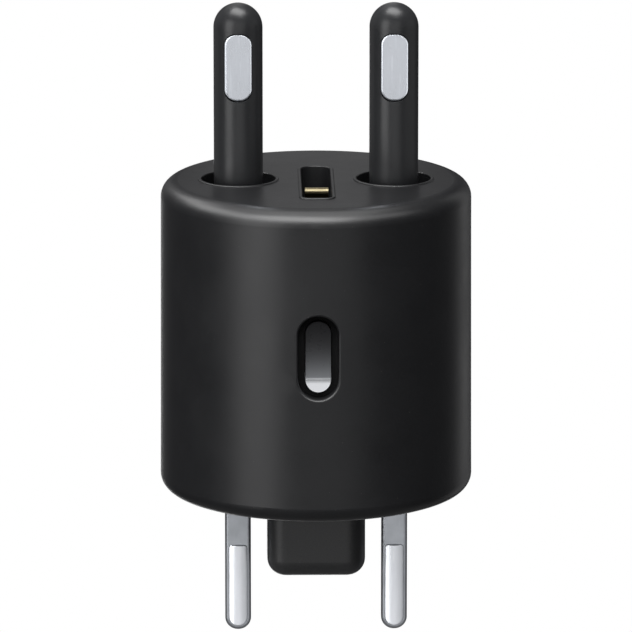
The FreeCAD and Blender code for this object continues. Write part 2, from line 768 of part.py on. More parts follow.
def shell_posts(body):
    """Three posts for the cover's screws."""
    posts = new_sketch(body, "XY_Plane", d.cover_thickness)
    for angle in SCREW_ANGLES:
        draw_circle(posts, d.post_radius, *polar(d.post_circle_radius, angle))
    feature(body, "Pad", posts, d.post_length)


def shell_pilots(body):
    pilots = new_sketch(body, "XY_Plane", d.cover_thickness)
    for angle in SCREW_ANGLES:
        draw_circle(pilots, d.pilot_radius, *polar(d.post_circle_radius, angle))
    feature(body, "Pocket", pilots, d.pilot_depth, reverse=True)


def shell_rails(body):
    """Grooved rails for the control board, which also hold the main board down."""
    front, back = d.control_front, d.control_front + d.control_thickness
    rails = new_sketch(body, "XY_Plane", d.control_bottom)
    for _, side in SIDES:
        ends = sorted((side * d.rail_inner, side * d.rail_reach), key=lambda s: s.number)
        draw_rectangle(rails, ends, (front - d.rail_wall, back + d.rail_wall))
    feature(body, "Pad", rails, d.rail_height)
    groove = new_sketch(body, "XY_Plane", d.control_bottom)
    reach = d.control_half_width + d.fit_gap
    draw_rectangle(groove, around(0, reach), (front - d.fit_gap, back + d.fit_gap))
    feature(body, "Pocket", groove, d.rail_height + d.over_cut, reverse=True)


def draw_mouths(sketch, grow):
    """The outlines of the two wells and the slot, grown outwards."""
    for _, side in SIDES:
        draw_circle(sketch, d.cup_diameter / 2 + grow, side * d.pin_pitch / 2)
    across = around(0, d.slot_width / 2 + grow)
    deep = (d.slot_front - grow, d.slot_back + grow)
    front, back = d.slot_corner + grow, d.slot_back_corner + grow
    draw_rounded_rectangle(sketch, across, deep, front, back)


def shell_openings(body, outer):
    """The two wells and the slot with their raised rims, and the button's opening."""
    rims = new_sketch(body, "XY_Plane", d.body_height)
    draw_mouths(rims, d.mouth_rim_width)
    feature(body, "Pad", rims, d.mouth_rim_height)
    top = d.body_height + d.mouth_rim_height
    mouths = new_sketch(body, "XY_Plane", top)
    draw_mouths(mouths, 0)
    feature(body, "Pocket", mouths, d.mouth_rim_height + d.top_wall + d.over_cut)
    soften(body, d.mouth_rim_edge, at_height(top))
    start = outer + d.over_cut
    opening = new_sketch(body, "XZ_Plane", start)
    draw_pill(opening, d.opening_width, d.opening_height, 0, d.button_z)
    feature(body, "Pocket", opening, start + d.frame_seat + d.over_cut)


def shell_button_lip(body, outer):
    """Rounds the mouth of the button's opening."""
    wide = (d.opening_width / 2 + d.fit_gap).number
    skin = (d.mouth_depth - outer).number

    def opening_mouth(edge):
        b = edge.BoundBox
        return b.YMax < skin and b.XMin > -wide and b.XMax < wide

    soften(body, d.lip_radius, opening_mouth)


def body_shell():
    body = new_body("body_shell")
    outer = d.body_diameter / 2
    shell_wall(body, outer)
    shell_button_seat(body)
    shell_posts(body)
    shell_rails(body)
    shell_pilots(body)
    shell_openings(body, outer)
    shell_button_lip(body, outer)


# ---------------------------------------------------------------- underside


def base_cover():
    body = new_body("base_cover")
    radius = d.cover_seat_diameter / 2 - d.fit_gap
    plate = new_sketch(body, "XY_Plane")
    draw_circle(plate, radius)
    feature(body, "Pad", plate, d.cover_thickness)
    soften(body, d.cover_edge, round_edge(radius, 0))

    feet = new_sketch(body, "XY_Plane", d.cover_thickness)
    for angle in STANDOFF_ANGLES:
        draw_circle(feet, d.standoff_radius, *polar(d.standoff_circle_radius, angle))
    feature(body, "Pad", feet, d.board_bottom - d.cover_thickness)

    gap = d.fit_gap
    through = new_sketch(body, "XY_Plane")
    for _, side in SIDES:
        across = around(side * d.blade_pitch / 2, d.blade_width / 2 + gap)
        deep = around(0, d.blade_thickness / 2 + gap)
        draw_rounded_rectangle(through, across, deep, d.blade_edge_radius + gap)
    across, deep = around(0, d.boss_width / 2 + gap), around(0, d.boss_depth / 2 + gap)
    draw_rounded_rectangle(through, across, deep, d.boss_corner_radius + gap)
    cover_holes(through, d.screw_shank_radius)
    feature(body, "Pocket", through, d.cover_thickness, reverse=True)

    heads = new_sketch(body, "XY_Plane")
    cover_holes(heads, d.screw_head_radius)
    feature(body, "Pocket", heads, d.screw_head_recess, reverse=True)


def cover_holes(sketch, radius):
    """A clearance hole for each cover screw."""
    for angle in SCREW_ANGLES:
        centre = polar(d.post_circle_radius, angle)
        draw_circle(sketch, radius + d.screw_clearance, *centre)


def base_screws():
    """Three pan-head screws with cross recesses, driven up from below."""
    screws = []
    top = d.screw_head_recess
    bottom = top - d.screw_head_height
    for angle in SCREW_ANGLES:
        x, y = polar(d.post_circle_radius, angle)
        head = rod(d.screw_head_radius, (bottom, top), x, y)
        head = rounded(head, d.soft_edge, at_height(bottom))
        shank = rod(d.screw_shank_radius, (top, top + d.screw_length), x, y)
        depth = (bottom, bottom + d.drive_depth)
        arms = [(d.drive_reach, d.drive_half), (d.drive_half, d.drive_reach)]
        recess = [box(around(x, a), around(y, b), depth) for a, b in arms]
        screws.append(cut(fuse(head, shank), *recess))
    group = doc.addObject("Part::Compound", "screws")
    group.Links = screws
    sub_part(group, "base_screws")


def guide_boss():
    """A hollow block that passes down through the cover, hung from its flange."""
    body = new_body("guide_boss")
    flange_bottom = d.cover_thickness + d.fit_gap
    half_width, half_depth = d.boss_width / 2, d.boss_depth / 2
    block = new_sketch(body, "XY_Plane", -d.boss_height)
    draw_rectangle(block, around(0, half_width), around(0, half_depth))
    feature(body, "Pad", block, d.boss_height + flange_bottom)
    soften(body, d.boss_corner_radius, upright)
    soften(body, d.boss_nose_radius, at_height(-d.boss_height))

    reach = d.boss_flange_reach
    flange = new_sketch(body, "XY_Plane", flange_bottom)
    across, deep = around(0, half_width + reach), around(0, half_depth + reach)
    draw_rounded_rectangle(flange, across, deep, d.boss_corner_radius + reach)
    feature(body, "Pad", flange, d.boss_flange_height)

    top = flange_bottom + d.boss_flange_height
    hollow = new_sketch(body, "XY_Plane", top)
    draw_rectangle(hollow, around(0, d.boss_room_width / 2), around(0, d.boss_room_depth / 2))
    feature(body, "Pocket", hollow, top + d.boss_height - d.boss_floor)


def overheat_sensor():
    """A bead in the boss's nose with two leads up to the main board."""
    bead_z = d.bead_rise - d.boss_height
    bead = rod_along_x(d.bead_radius, around(0, d.bead_width / 2), 0, bead_z)
    up = (bead_z, board_top())
    leads = [rod(d.bead_lead_radius, up, side * d.bead_lead_spread) for _, side in SIDES]
    sub_part(fuse(bead, *leads), "overheat_sensor")


# ---------------------------------------------------------------- upper pins


def pin_tip():
    return d.body_height + d.pin_height


def window_span():
    """Bottom and top of the opening in the sheath."""
    top = pin_tip() - d.window_drop
    return top - d.window_height, top


def pin_sheath(label, side):
    """The insulating sleeve: a domed tube with a window near its tip, a collar in the
    cup's floor and a flange under it."""
    body = new_body(label)
    place(body, side * d.pin_pitch / 2)
    outer, bore = d.sheath_diameter / 2, d.core_diameter / 2
    domed_shaft(body, "Revolution", outer, d.sheath_bottom, pin_tip())

    flange = new_sketch(body, "XY_Plane", d.sheath_bottom)
    draw_circle(flange, d.sheath_flange_radius)
    feature(body, "Pad", flange, d.sheath_flange_height)
    collar = new_sketch(body, "XY_Plane", d.sheath_bottom)
    draw_circle(collar, d.collar_radius)
    feature(body, "Pad", collar, d.cup_floor_top - d.sheath_bottom)
    domed_shaft(body, "Groove", bore, d.sheath_bottom, pin_tip() - (outer - bore))

    start = outer + d.over_cut
    window = new_sketch(body, "XZ_Plane", start)
    draw_rounded_rectangle(window, around(0, d.window_width / 2), window_span(), d.window_corner)
    feature(body, "Pocket", window, start - d.pad_back)


def pin_core(label, side):
    """The metal core, flattened behind the contact pad, with a thin tail for the nut."""
    body = new_body(label)
    place(body, side * d.pin_pitch / 2)
    wall = (d.sheath_diameter - d.core_diameter) / 2
    radius = d.core_diameter / 2 - d.core_gap
    domed_shaft(body, "Revolution", radius, d.sheath_bottom, pin_tip() - wall - d.core_gap)

    tail = new_sketch(body, "XY_Plane", d.tail_bottom)
    draw_circle(tail, d.tail_radius)
    feature(body, "Pad", tail, d.sheath_bottom - d.tail_bottom)

    start = radius + d.over_cut
    flat = new_sketch(body, "XZ_Plane", start)
    draw_rectangle(flat, around(0, radius), window_span())
    feature(body, "Pocket", flat, start - d.pad_back)


def contact_pad(label, side):
    body = new_body(label)
    place(body, side * d.pin_pitch / 2)
    gap = d.fit_gap
    low, top = window_span()
    face = new_sketch(body, "XZ_Plane", d.pad_back)
    across = around(0, d.window_width / 2 - gap)
    draw_rounded_rectangle(face, across, (low + gap, top - gap), d.window_corner - gap)
    feature(body, "Pad", face, d.pad_face - d.pad_back)
    soften(body, d.pad_edge_radius, at_depth(-d.pad_face))


def pin_cup(label, side):
    """A cup under the top face that the pin passes through, which makes the well."""
    inner = d.cup_diameter / 2
    ceiling = d.body_height - d.top_wall
    bottom = d.cup_floor_top - d.cup_floor
    cup = rod(inner + d.cup_wall, (bottom, ceiling))
    well = rod(inner, (d.cup_floor_top, ceiling))
    hole = rod(d.collar_radius + d.slide_gap, (bottom, d.cup_floor_top))
    made = cut(cup, well, hole)
    place(made, side * d.pin_pitch / 2)
    sub_part(made, label)


def pin_nuts():
    """A hexagonal nut on the tail of each pin."""
    nuts = []
    for _, side in SIDES:
        x = side * d.pin_pitch / 2
        prism = doc.addObject("Part::Prism", "hexagon")
        prism.Polygon = 6
        link(prism, "Circumradius", d.nut_across_corners / 2)
        link(prism, "Height", d.nut_top - d.nut_bottom)
        place(prism, x, 0, d.nut_bottom)
        nuts.append(cut(prism, rod(d.tail_radius + d.slide_gap, (d.nut_bottom, d.nut_top), x)))
    group = doc.addObject("Part::Compound", "nuts")
    group.Links = nuts
    sub_part(group, "pin_nuts")


def bus_bar(label, side):
    """A bent strip: a tab round the pin's tail and a leg down through the main board."""
    tab_z = (d.bar_top - d.bar_thickness, d.bar_top)
    tab = box((d.bar_inner, d.bar_outer), around(0, d.bar_tab_width / 2), tab_z)
    leg_x = (d.bar_outer - d.bar_thickness, d.bar_outer)
    leg = box(leg_x, around(0, d.bar_width / 2), (d.lead_bottom, d.bar_top))
    bar = cut(fuse(tab, leg), rod(d.tail_radius + d.slide_gap, tab_z, d.pin_pitch / 2))

    def outer_bend(edge):
        b = edge.BoundBox
        return near(b.ZMin, d.bar_top.number) and near(b.XMin, d.bar_outer.number)

    bar = rounded(bar, d.bar_bend, outer_bend)
    if side < 0:
        place(bar, turned=((0, 0, 1), 180))
    sub_part(bar, label)


# ---------------------------------------------------------------- slot and its contact


def slot_liner():
    """A box under the slot, with a hole in its floor for the strap."""
    half, wall = d.slot_width / 2, d.slot_wall
    ceiling = d.body_height - d.top_wall
    bottom = d.slot_floor_top - d.slot_floor
    length = (d.slot_front - wall, d.slot_back + wall)
    outside = box(around(0, half + wall), length, (bottom, ceiling))
    outside = rounded(outside, d.slot_corner + wall, upright_front)
    outside = rounded(outside, d.slot_back_corner + wall, upright_back)
    inside = box(around(0, half), (d.slot_front, d.slot_back), (d.slot_floor_top, ceiling))
    inside = rounded(inside, d.slot_corner, upright_front)
    inside = rounded(inside, d.slot_back_corner, upright_back)
    across = around(0, d.strap_width / 2 + d.fit_gap)
    deep = around(d.leaf_y, d.leaf_thickness / 2 + d.fit_gap)
    hole = box(across, deep, (bottom, d.slot_floor_top))
    sub_part(cut(outside, inside, hole), "slot_liner")


def centre_contact():
    """The spring leaf that flexes when a blade is pushed into the slot."""
    across, half = around(0, d.leaf_width / 2), d.leaf_thickness / 2
    leaf = box(across, around(d.leaf_y, half), (d.leaf_bottom, d.leaf_roll_z))
    roll_y = d.leaf_y + half - d.leaf_roll_radius
    roll = rod_along_x(d.leaf_roll_radius, across, roll_y, d.leaf_roll_z)
    sub_part(fuse(leaf, roll), "centre_contact")


def centre_strap():
    """Carries the leaf through the slot's floor and down to the main board."""
    across, thick = around(0, d.strap_width / 2), d.leaf_thickness
    front = d.leaf_y - thick / 2
    bend = (d.strap_bend_z, d.strap_bend_z + thick)
    post = box(across, (front, front + thick), (bend[0], d.strap_top))
    run = box(across, (front, d.strap_back), bend)
    leg = box(across, (d.strap_back - thick, d.strap_back), (d.lead_bottom, bend[1]))
    sub_part(fuse(post, run, leg), "centre_strap")


# ---------------------------------------------------------------- lower blades


def blade(label, side):
    """A flat blade with a round tip, a shoulder that sits on the cover, a solder tab,
    and a groove in its front for the strip."""
    body = new_body(label)
    place(body, side * d.blade_pitch / 2)
    half_width, half_depth = d.blade_width / 2, d.blade_thickness / 2
    seat = d.cover_thickness + d.fit_gap
    flat = new_sketch(body, "XZ_Plane", -half_depth)
    draw_rectangle(flat, around(0, half_width), (-d.blade_length, seat))
    feature(body, "Pad", flat, d.blade_thickness)

    def tip_corner(edge):
        b = edge.BoundBox
        across = near(b.XLength, 0) and near(b.ZLength, 0)
        return across and near(b.ZMin, -d.blade_length.number)

    soften(body, half_width - d.fit_gap, tip_corner)

    def long_edge(edge):
        b = edge.BoundBox
        on_a_face = near(b.YLength, 0) and near(abs(b.YMin), half_depth.number)
        return on_a_face and b.ZMin < d.cover_thickness.number

    soften(body, d.blade_edge_radius, long_edge)

    shoulder = new_sketch(body, "XY_Plane", seat)
    draw_rectangle(shoulder, around(0, d.shoulder_width / 2), around(0, d.shoulder_depth / 2))
    feature(body, "Pad", shoulder, d.shoulder_top - seat)
    tab = new_sketch(body, "XY_Plane", d.shoulder_top)
    draw_rectangle(tab, around(0, d.tab_width / 2), around(0, d.tab_thickness / 2))
    feature(body, "Pad", tab, d.tab_top - d.shoulder_top)

    groove = new_sketch(body, "XZ_Plane", half_depth + d.over_cut)
    draw_strip(groove, d.strip_gap)
    feature(body, "Pocket", groove, d.over_cut + d.strip_inset)


def draw_strip(sketch, grow):
    """The strip's outline: square-shouldered at the top and round at the bottom."""
    half = d.strip_width / 2 + grow
    up = (d.strip_bottom - grow, d.strip_top + grow)
    draw_rounded_rectangle(sketch, around(0, half), up, half - d.strip_gap, d.strip_corner)


def blade_strip(label, side):
    """A strip with a crowned face, let into the front of a blade."""
    blank = doc.addObject("PartDesign::Body", "strip_blank")
    back = d.blade_thickness / 2 - d.strip_inset
    flat = new_sketch(blank, "XZ_Plane", back)
    draw_strip(flat, 0)
    feature(blank, "Pad", flat, d.strip_inset + d.strip_crown)

    half = d.strip_width / 2
    crown_radius = (half * half + d.strip_crown * d.strip_crown) / (2 * d.strip_crown)
    front = -d.blade_thickness / 2 - d.strip_crown
    up = (d.strip_bottom - d.over_cut, d.strip_top + d.over_cut)
    strip = common(blank, rod(crown_radius, up, 0, front + crown_radius))

    top_end, bottom_end = d.strip_top - d.strip_corner, d.strip_bottom + half
    proud = (front + d.strip_crown).number + NEAR

    def end_of_crown(edge):
        b = edge.BoundBox
        at_an_end = b.ZMin > top_end.number or b.ZMax < bottom_end.number
        return at_an_end and b.YMax < proud

    strip = rounded(strip, d.strip_end_radius, end_of_crown)
    place(strip, side * d.blade_pitch / 2)
    sub_part(strip, label)


# ---------------------------------------------------------------- button group


def flange_span():
    """Front and back of the button's own flange, behind the frame."""
    front = d.frame_back + d.fit_gap
    return front, front + d.cap_flange


def button_frame():
    """The dark surround of the button, seated behind the body's opening."""
    width, height = d.opening_width - 2 * d.fit_gap, d.opening_height - 2 * d.fit_gap
    tube = pill(width, height, (d.frame_front, d.frame_seat), d.button_z)
    across = around(0, d.frame_flange_width / 2)
    up = around(d.button_z, d.frame_flange_height / 2)
    flange = box(across, (d.frame_seat, d.frame_back), up)
    width, height = d.cap_width + 2 * d.cap_gap, d.cap_height + 2 * d.cap_gap
    bore = pill(width, height, (d.frame_front, d.frame_back), d.button_z)
    sub_part(cut(fuse(tube, flange), bore), "button_frame")


def button_blank():
    """The button's dished body, before it is split into its cap and its light window."""
    depth = (d.cap_front, flange_span()[0])
    blank = pill(d.cap_width, d.cap_height, depth, d.button_z)
    chord = d.cap_height / 2
    dish_radius = (chord * chord + d.cap_dish * d.cap_dish) / (2 * d.cap_dish)
    across = around(0, d.cap_width / 2 + d.cap_gap)
    dish_y = d.cap_front + d.cap_dish - dish_radius
    return cut(blank, rod_along_x(dish_radius, across, dish_y, d.button_z))


def lens_region():
    """The space that the light window takes at the button's lower end."""
    low = d.button_z - d.cap_height / 2
    depth = (d.cap_front, flange_span()[0])
    return box(around(0, d.cap_width / 2), depth, (low, low + d.lens_height))


def light_guide():
    """The stem of the light window, which reaches back towards the status light."""
    depth = (flange_span()[0], d.guide_back)
    return box(around(0, d.guide_half_width), depth, around(d.light_z, d.guide_half_height))


def button_cap():
    reach = 2 * d.cap_flange_reach
    flange = pill(d.cap_width + reach, d.cap_height + reach, flange_span(), d.button_z)
    nub = rod_along_y(d.nub_radius, (flange_span()[1], d.plunger_front), 0, d.switch_z)
    cap = cut(fuse(button_blank(), flange, nub), lens_region(), light_guide())
    sub_part(cap, "button_cap")


def button_lens():
    lens = fuse(common(button_blank(), lens_region()), light_guide())
    sub_part(lens, "button_lens")


# ---------------------------------------------------------------- boards


def board_top():
    return d.board_bottom + d.board_thickness


def control_back():
    return d.control_front + d.control_thickness


def link_pin_places():
    """The x of each pin that joins the two boards."""
    first = -(LINK_PIN_COUNT - 1) * LINK_PIN_PITCH / 2
    return [first + n * LINK_PIN_PITCH for n in range(LINK_PIN_COUNT)]


def board_leads():
    """Every lead through the main board: its x and y, and its half width and depth."""
    bar_x = d.bar_outer - d.bar_thickness / 2
    leads = []
    for _, side in SIDES:
        leads.append((side * d.blade_pitch / 2, 0, d.tab_width / 2, d.tab_thickness / 2))
        leads.append((side * bar_x, 0, d.bar_thickness / 2, d.bar_width / 2))
        leads.append((side * d.bead_lead_spread, 0, d.bead_lead_radius, d.bead_lead_radius))
        spread = d.varistor_y + side * d.varistor_spread
        leads.append((d.varistor_x, spread, d.lead_radius, d.lead_radius))
    leads.append((d.fuse_x, d.fuse_y, d.lead_radius, d.lead_radius))
    strap_y = d.strap_back - d.leaf_thickness / 2
    leads.append((0, strap_y, d.strap_width / 2, d.leaf_thickness / 2))
    leads += [(x, d.link_y, d.link_pin_half, d.link_pin_half) for x in link_pin_places()]
    leads.append(relay_terminal())
    return leads


def with_gap(leads):
    return [(x, y, a + d.hole_gap, b + d.hole_gap) for x, y, a, b in leads]


def main_board():
    z = (d.board_bottom, board_top())
    notches = []
    for angle in SCREW_ANGLES:
        notches.append(rod(d.board_notch_radius, z, *polar(d.post_circle_radius, angle)))
    disc = cut(rod(d.board_radius, z), *notches)
    sub_part(cut_leads(disc, z, with_gap(board_leads())), "main_board")


def control_board():
    depth = (d.control_front, control_back())
    across = around(0, d.control_half_width)
    board = box(across, depth, (d.control_bottom, d.control_top))
    up = around(d.link_z, d.link_hole_half)
    holes = [box(around(x, d.link_hole_half), depth, up) for x in link_pin_places()]
    sub_part(cut(board, *holes), "control_board")


def board_link_pins():
    """Bent square pins: through the control board, back, and down through the main."""
    pins = []
    half = d.link_pin_half
    for x in link_pin_places():
        across = around(x, half)
        arm = box(across, (d.link_front, d.link_y + half), around(d.link_z, half))
        leg = box(across, around(d.link_y, half), (d.lead_bottom, d.link_z + half))
        pins.append(fuse(arm, leg))
    group = doc.addObject("Part::Compound", "pins")
    group.Links = pins
    sub_part(group, "board_link_pins")


def switch():
    """The push switch behind the button: its body, and the plunger that it moves."""
    front, half = d.control_front - d.switch_height, d.switch_size / 2
    case = box(around(0, half), (front, d.control_front), around(d.switch_z, half))
    depth = (front, d.plunger_back + d.plunger_room)
    hole = rod_along_y(d.plunger_radius + d.plunger_gap, depth, 0, d.switch_z)
    sub_part(cut(case, hole), "switch_body")
    reach = (d.plunger_front, d.plunger_back)
    sub_part(rod_along_y(d.plunger_radius, reach, 0, d.switch_z), "switch_plunger")


def status_light():
    depth = (d.control_front - d.light_height, d.control_front)
    up = around(d.light_z, d.light_half_height)
    sub_part(box(around(0, d.light_half_width), depth, up), "status_light")


def radio():
    """The radio's own small board, and its chip under a metal lid."""
    back = control_back()
    face = back + d.radio_thickness
    up = (d.radio_bottom, d.radio_top)
    sub_part(box(around(0, d.radio_half_width), (back, face), up), "radio_board")
    chip_depth = (face, face + d.chip_height)
    chip = box(around(0, d.chip_half), chip_depth, around(d.chip_z, d.chip_half))
    sub_part(chip, "radio_chip")
    half, wall, top = d.shield_half_width, d.shield_wall, face + d.shield_height
    lid = box(around(0, half), (face, top), (d.shield_bottom, d.shield_top))
    lid = rounded(lid, d.shield_edge, at_depth(top))
    up = (d.shield_bottom + wall, d.shield_top - wall)
    room = box(around(0, half - wall), (face, top - wall), up)
    sub_part(cut(lid, room), "radio_shield")
    radio_aerial(face)


def radio_aerial(face):
    """A zigzag track on the radio board above the metal lid."""
    depth = (face, face + d.aerial_height)
    line = d.aerial_line
    left = -d.aerial_half_width
    pitch = (2 * d.aerial_half_width - line) / (AERIAL_UPRIGHTS - 1)
    runs = []
    for n in range(AERIAL_UPRIGHTS):
        x = left + n * pitch
        runs.append(box((x, x + line), depth, (d.aerial_bottom, d.aerial_top)))
        if n:
            low = d.aerial_bottom if n % 2 else d.aerial_top - line
            runs.append(box((x - pitch, x + line), depth, (low, low + line)))
    sub_part(fuse(*runs), "radio_aerial")


# ---------------------------------------------------------------- power supply


def transformer():
    """A ferrite core with its winding, on a moulded base."""
    x, y, foot = d.transformer_x, d.transformer_y, board_top()
    bottom = foot + d.transformer_base_height
    across, deep = around(x, d.ferrite_width / 2), around(y, d.ferrite_depth / 2)
    sub_part(box(across, around(y, d.coil_depth / 2), (foot, bottom)), "transformer_base")
    core = box(across, deep, (bottom, bottom + d.ferrite_height))
    window_z = (bottom + d.ferrite_yoke, bottom + d.ferrite_height - d.ferrite_yoke)
    near_side, far_side = d.ferrite_limb / 2, d.ferrite_width / 2 - d.ferrite_leg
    windows = [
        box((x - far_side, x - near_side), deep, window_z),
        box((x + near_side, x + far_side), deep, window_z),
    ]
    sub_part(cut(core, *windows), "transformer_core")
    gap = d.coil_gap
    coil_z = (window_z[0] + gap, window_z[1] - gap)
    coil = box(around(x, d.coil_width / 2), around(y, d.coil_depth / 2), coil_z)
    coil = rounded(coil, d.coil_corner, upright)
    limb = box(around(x, near_side + gap), around(y, d.ferrite_depth / 2 + gap), coil_z)
    sub_part(cut(coil, limb), "transformer_winding")


def bulk_capacitor():
    """An upright can with a crimped groove near its foot."""
    x, y, foot = d.capacitor_x, d.capacitor_y, board_top()
    top = foot + d.capacitor_height
    can = rounded(rod(d.capacitor_radius, (foot, top), x, y), d.soft_edge, at_height(top))
    groove = doc.addObject("Part::Torus", "groove")
    link(groove, "Radius1", d.capacitor_radius + d.crimp_radius - d.crimp_depth)
    link(groove, "Radius2", d.crimp_radius)
    place(groove, x, y, foot + d.crimp_rise)
    sub_part(cut(can, groove), "bulk_capacitor")


def varistor():
    """An upright disc on two leads, which clips voltage spikes."""
    x, y, z = d.varistor_x, d.varistor_y, d.varistor_z
    disc = rod_along_x(d.varistor_radius, around(x, d.varistor_half_thickness), y, z)
    disc = rounded(disc, d.varistor_edge, lambda edge: near(edge.BoundBox.XLength, 0))
    leads = []
    for _, side in SIDES:
        leads.append(rod(d.lead_radius, (d.board_bottom, z), x, y + side * d.varistor_spread))
    sub_part(fuse(disc, *leads), "varistor")


def fuse_resistor():
    x, y = d.fuse_x, d.fuse_y
    bulb = rod(d.fuse_radius, (d.fuse_bottom, d.fuse_top), x, y)
    bulb = rounded(bulb, d.soft_edge, lambda edge: near(edge.BoundBox.ZLength, 0))
    lead = rod(d.lead_radius, (d.board_bottom, d.fuse_top + d.over_cut), x, y)
    sub_part(fuse(bulb, lead), "fuse_resistor")


def chips_under_board():
    top = d.board_bottom
    half = d.rectifier_half
    depth = (top - d.rectifier_height, top)
    sub_part(box(around(0, half), around(d.rectifier_y, half), depth), "bridge_rectifier")
    x, y, half = d.meter_chip_x, d.meter_chip_y, d.meter_chip_half
    depth = (top - d.meter_chip_height, top)
    sub_part(box(around(x, half), around(y, half), depth), "power_meter_chip")


# ---------------------------------------------------------------- relay


def relay_y():
    return (d.relay_front + d.relay_back) / 2


def relay_floor():
    return board_top() + d.relay_base_height


def relay_terminal():
    """The fixed contact's terminal: its x and y, and its half width and depth."""
    return d.contact_x, relay_y(), d.terminal_half_width, d.terminal_half_depth


def relay_case():
    """The relay's base, and the cover that closes over its works."""
    length, depth = around(0, d.relay_half_length), (d.relay_front, d.relay_back)
    foot, floor, wall = board_top(), relay_floor(), d.relay_wall
    top = foot + d.relay_height
    base = box(length, depth, (foot, floor))
    sub_part(cut_leads(base, (foot, floor), with_gap([relay_terminal()])), "relay_base")
    cover = rounded(box(length, depth, (floor, top)), d.soft_edge, at_height(top))
    inside = (around(0, d.relay_half_length - wall), (depth[0] + wall, depth[1] - wall))
    sub_part(cut(cover, box(*inside, (floor, top - wall))), "relay_cover")


def relay_coil():
    """Bobbin and winding, with the iron core through them."""
    x, y, half, flange = d.coil_x, relay_y(), d.bobbin_half, d.bobbin_flange
    bottom, top = relay_floor() + d.yoke_thickness, d.bobbin_top
    across, deep = around(x, half), around(y, half)
    lower = box(across, deep, (bottom, bottom + flange))
    upper = box(across, deep, (top - flange, top))
    neck_radius = d.core_radius + d.neck_wall
    neck = rod(neck_radius, (bottom, top), x, y)
    hole = rod(d.core_radius + d.stem_gap, (bottom, top), x, y)
    sub_part(cut(fuse(lower, upper, neck), hole), "relay_bobbin")
    wound = (bottom + flange + d.wound_gap, top - flange - d.wound_gap)
    winding = rod(d.coil_radius, wound, x, y)
    sub_part(cut(winding, rod(neck_radius + d.wound_gap, wound, x, y)), "relay_winding")
    stem = rod(d.core_radius, (bottom, d.pole_top), x, y)
    pole = rod(d.pole_radius, (top + d.wound_gap, d.pole_top), x, y)
    sub_part(fuse(stem, pole), "relay_core")


def relay_yoke():
    """The bent iron plate under and behind the coil, which the armature rocks on."""
    floor, deep = relay_floor(), around(relay_y(), d.yoke_half_depth)
    foot_x = (d.yoke_outer, d.coil_x + d.bobbin_half)
    foot = box(foot_x, deep, (floor, floor + d.yoke_thickness))
    back_x = (d.yoke_outer, d.yoke_outer + d.yoke_thickness)
    sub_part(fuse(foot, box(back_x, deep, (floor, d.yoke_top))), "relay_yoke")


def relay_contacts():
    """The hinged armature with its contact arm, and the fixed contact below it."""
    x, y = d.contact_x, relay_y()
    low, high = d.armature_bottom, d.armature_bottom + d.armature_thickness
    deep = around(y, d.armature_half_depth)
    sub_part(box((d.yoke_outer, d.armature_end), deep, (low, high)), "relay_armature")
    arm_x = (d.coil_x, x + d.arm_overhang)
    arm = box(arm_x, around(y, d.arm_half_depth), (high, high + d.arm_thickness))
    rivet = rod(d.contact_radius, (d.moving_contact_bottom, high), x, y)
    sub_part(fuse(arm, rivet), "relay_contact_arm")
    top, foot = d.fixed_contact_top, d.fixed_contact_top - d.contact_height
    _, _, half_width, half_depth = relay_terminal()
    post = box(around(x, half_width), around(y, half_depth), (d.lead_bottom, foot))
    sub_part(fuse(post, rod(d.contact_radius, (foot, top), x, y)), "relay_fixed_contact")


# ---------------------------------------------------------------- build and write


def build():
    body_shell()
    base_cover()
    base_screws()
    guide_boss()
    overheat_sensor()
    for name, side in SIDES:
        pin_sheath(f"pin_sheath_{name}", side)
        pin_core(f"pin_core_{name}", side)
        contact_pad(f"contact_pad_{name}", side)
        pin_cup(f"pin_cup_{name}", side)
        bus_bar(f"bus_bar_{name}", side)
        blade(f"blade_{name}", side)
        blade_strip(f"blade_strip_{name}", side)
    pin_nuts()
    slot_liner()
    centre_contact()
    centre_strap()
    button_frame()
    button_cap()
    button_lens()
    main_board()
    control_board()
    board_link_pins()
    switch()
    status_light()
    radio()
    transformer()
    bulk_capacitor()
    varistor()
    fuse_resistor()
    chips_under_board()
    relay_case()
    relay_coil()
    relay_yoke()
    relay_contacts()


def check():
    """Stops if any object failed to rebuild, or a sub-part isn't sound solids."""
    doc.recompute()
    for thing in doc.Objects:
        if {"Invalid", "Error"} & set(thing.State):
            raise RuntimeError(f"{thing.Label} failed: {thing.State}")
    for thing in sub_parts:
        shape = thing.Shape
        if shape.isNull() or not shape.isValid() or not shape.Solids:
            raise RuntimeError(f"{thing.Label} has no sound solid")


def write():
    os.makedirs(OUT_FOLDER, exist_ok=True)
    for thing in sub_parts:
        thing.Shape.exportStep(os.path.join(OUT_FOLDER, f"{thing.Label}.step"))
        solids, volume = len(thing.Shape.Solids), thing.Shape.Volume
        print(f"{thing.Label:22s} solids {solids:2d}  volume {volume:9.2f} mm3")
    print(len(sub_parts), "sub-parts")


build()
check()
write()
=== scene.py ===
"""Looks of the smart plug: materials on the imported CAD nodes, studio light and camera.

Everything is in metres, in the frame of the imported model: +Z up along the body, -Y the
front with the button, z = 0 the underside that meets the wall socket.
"""

import math

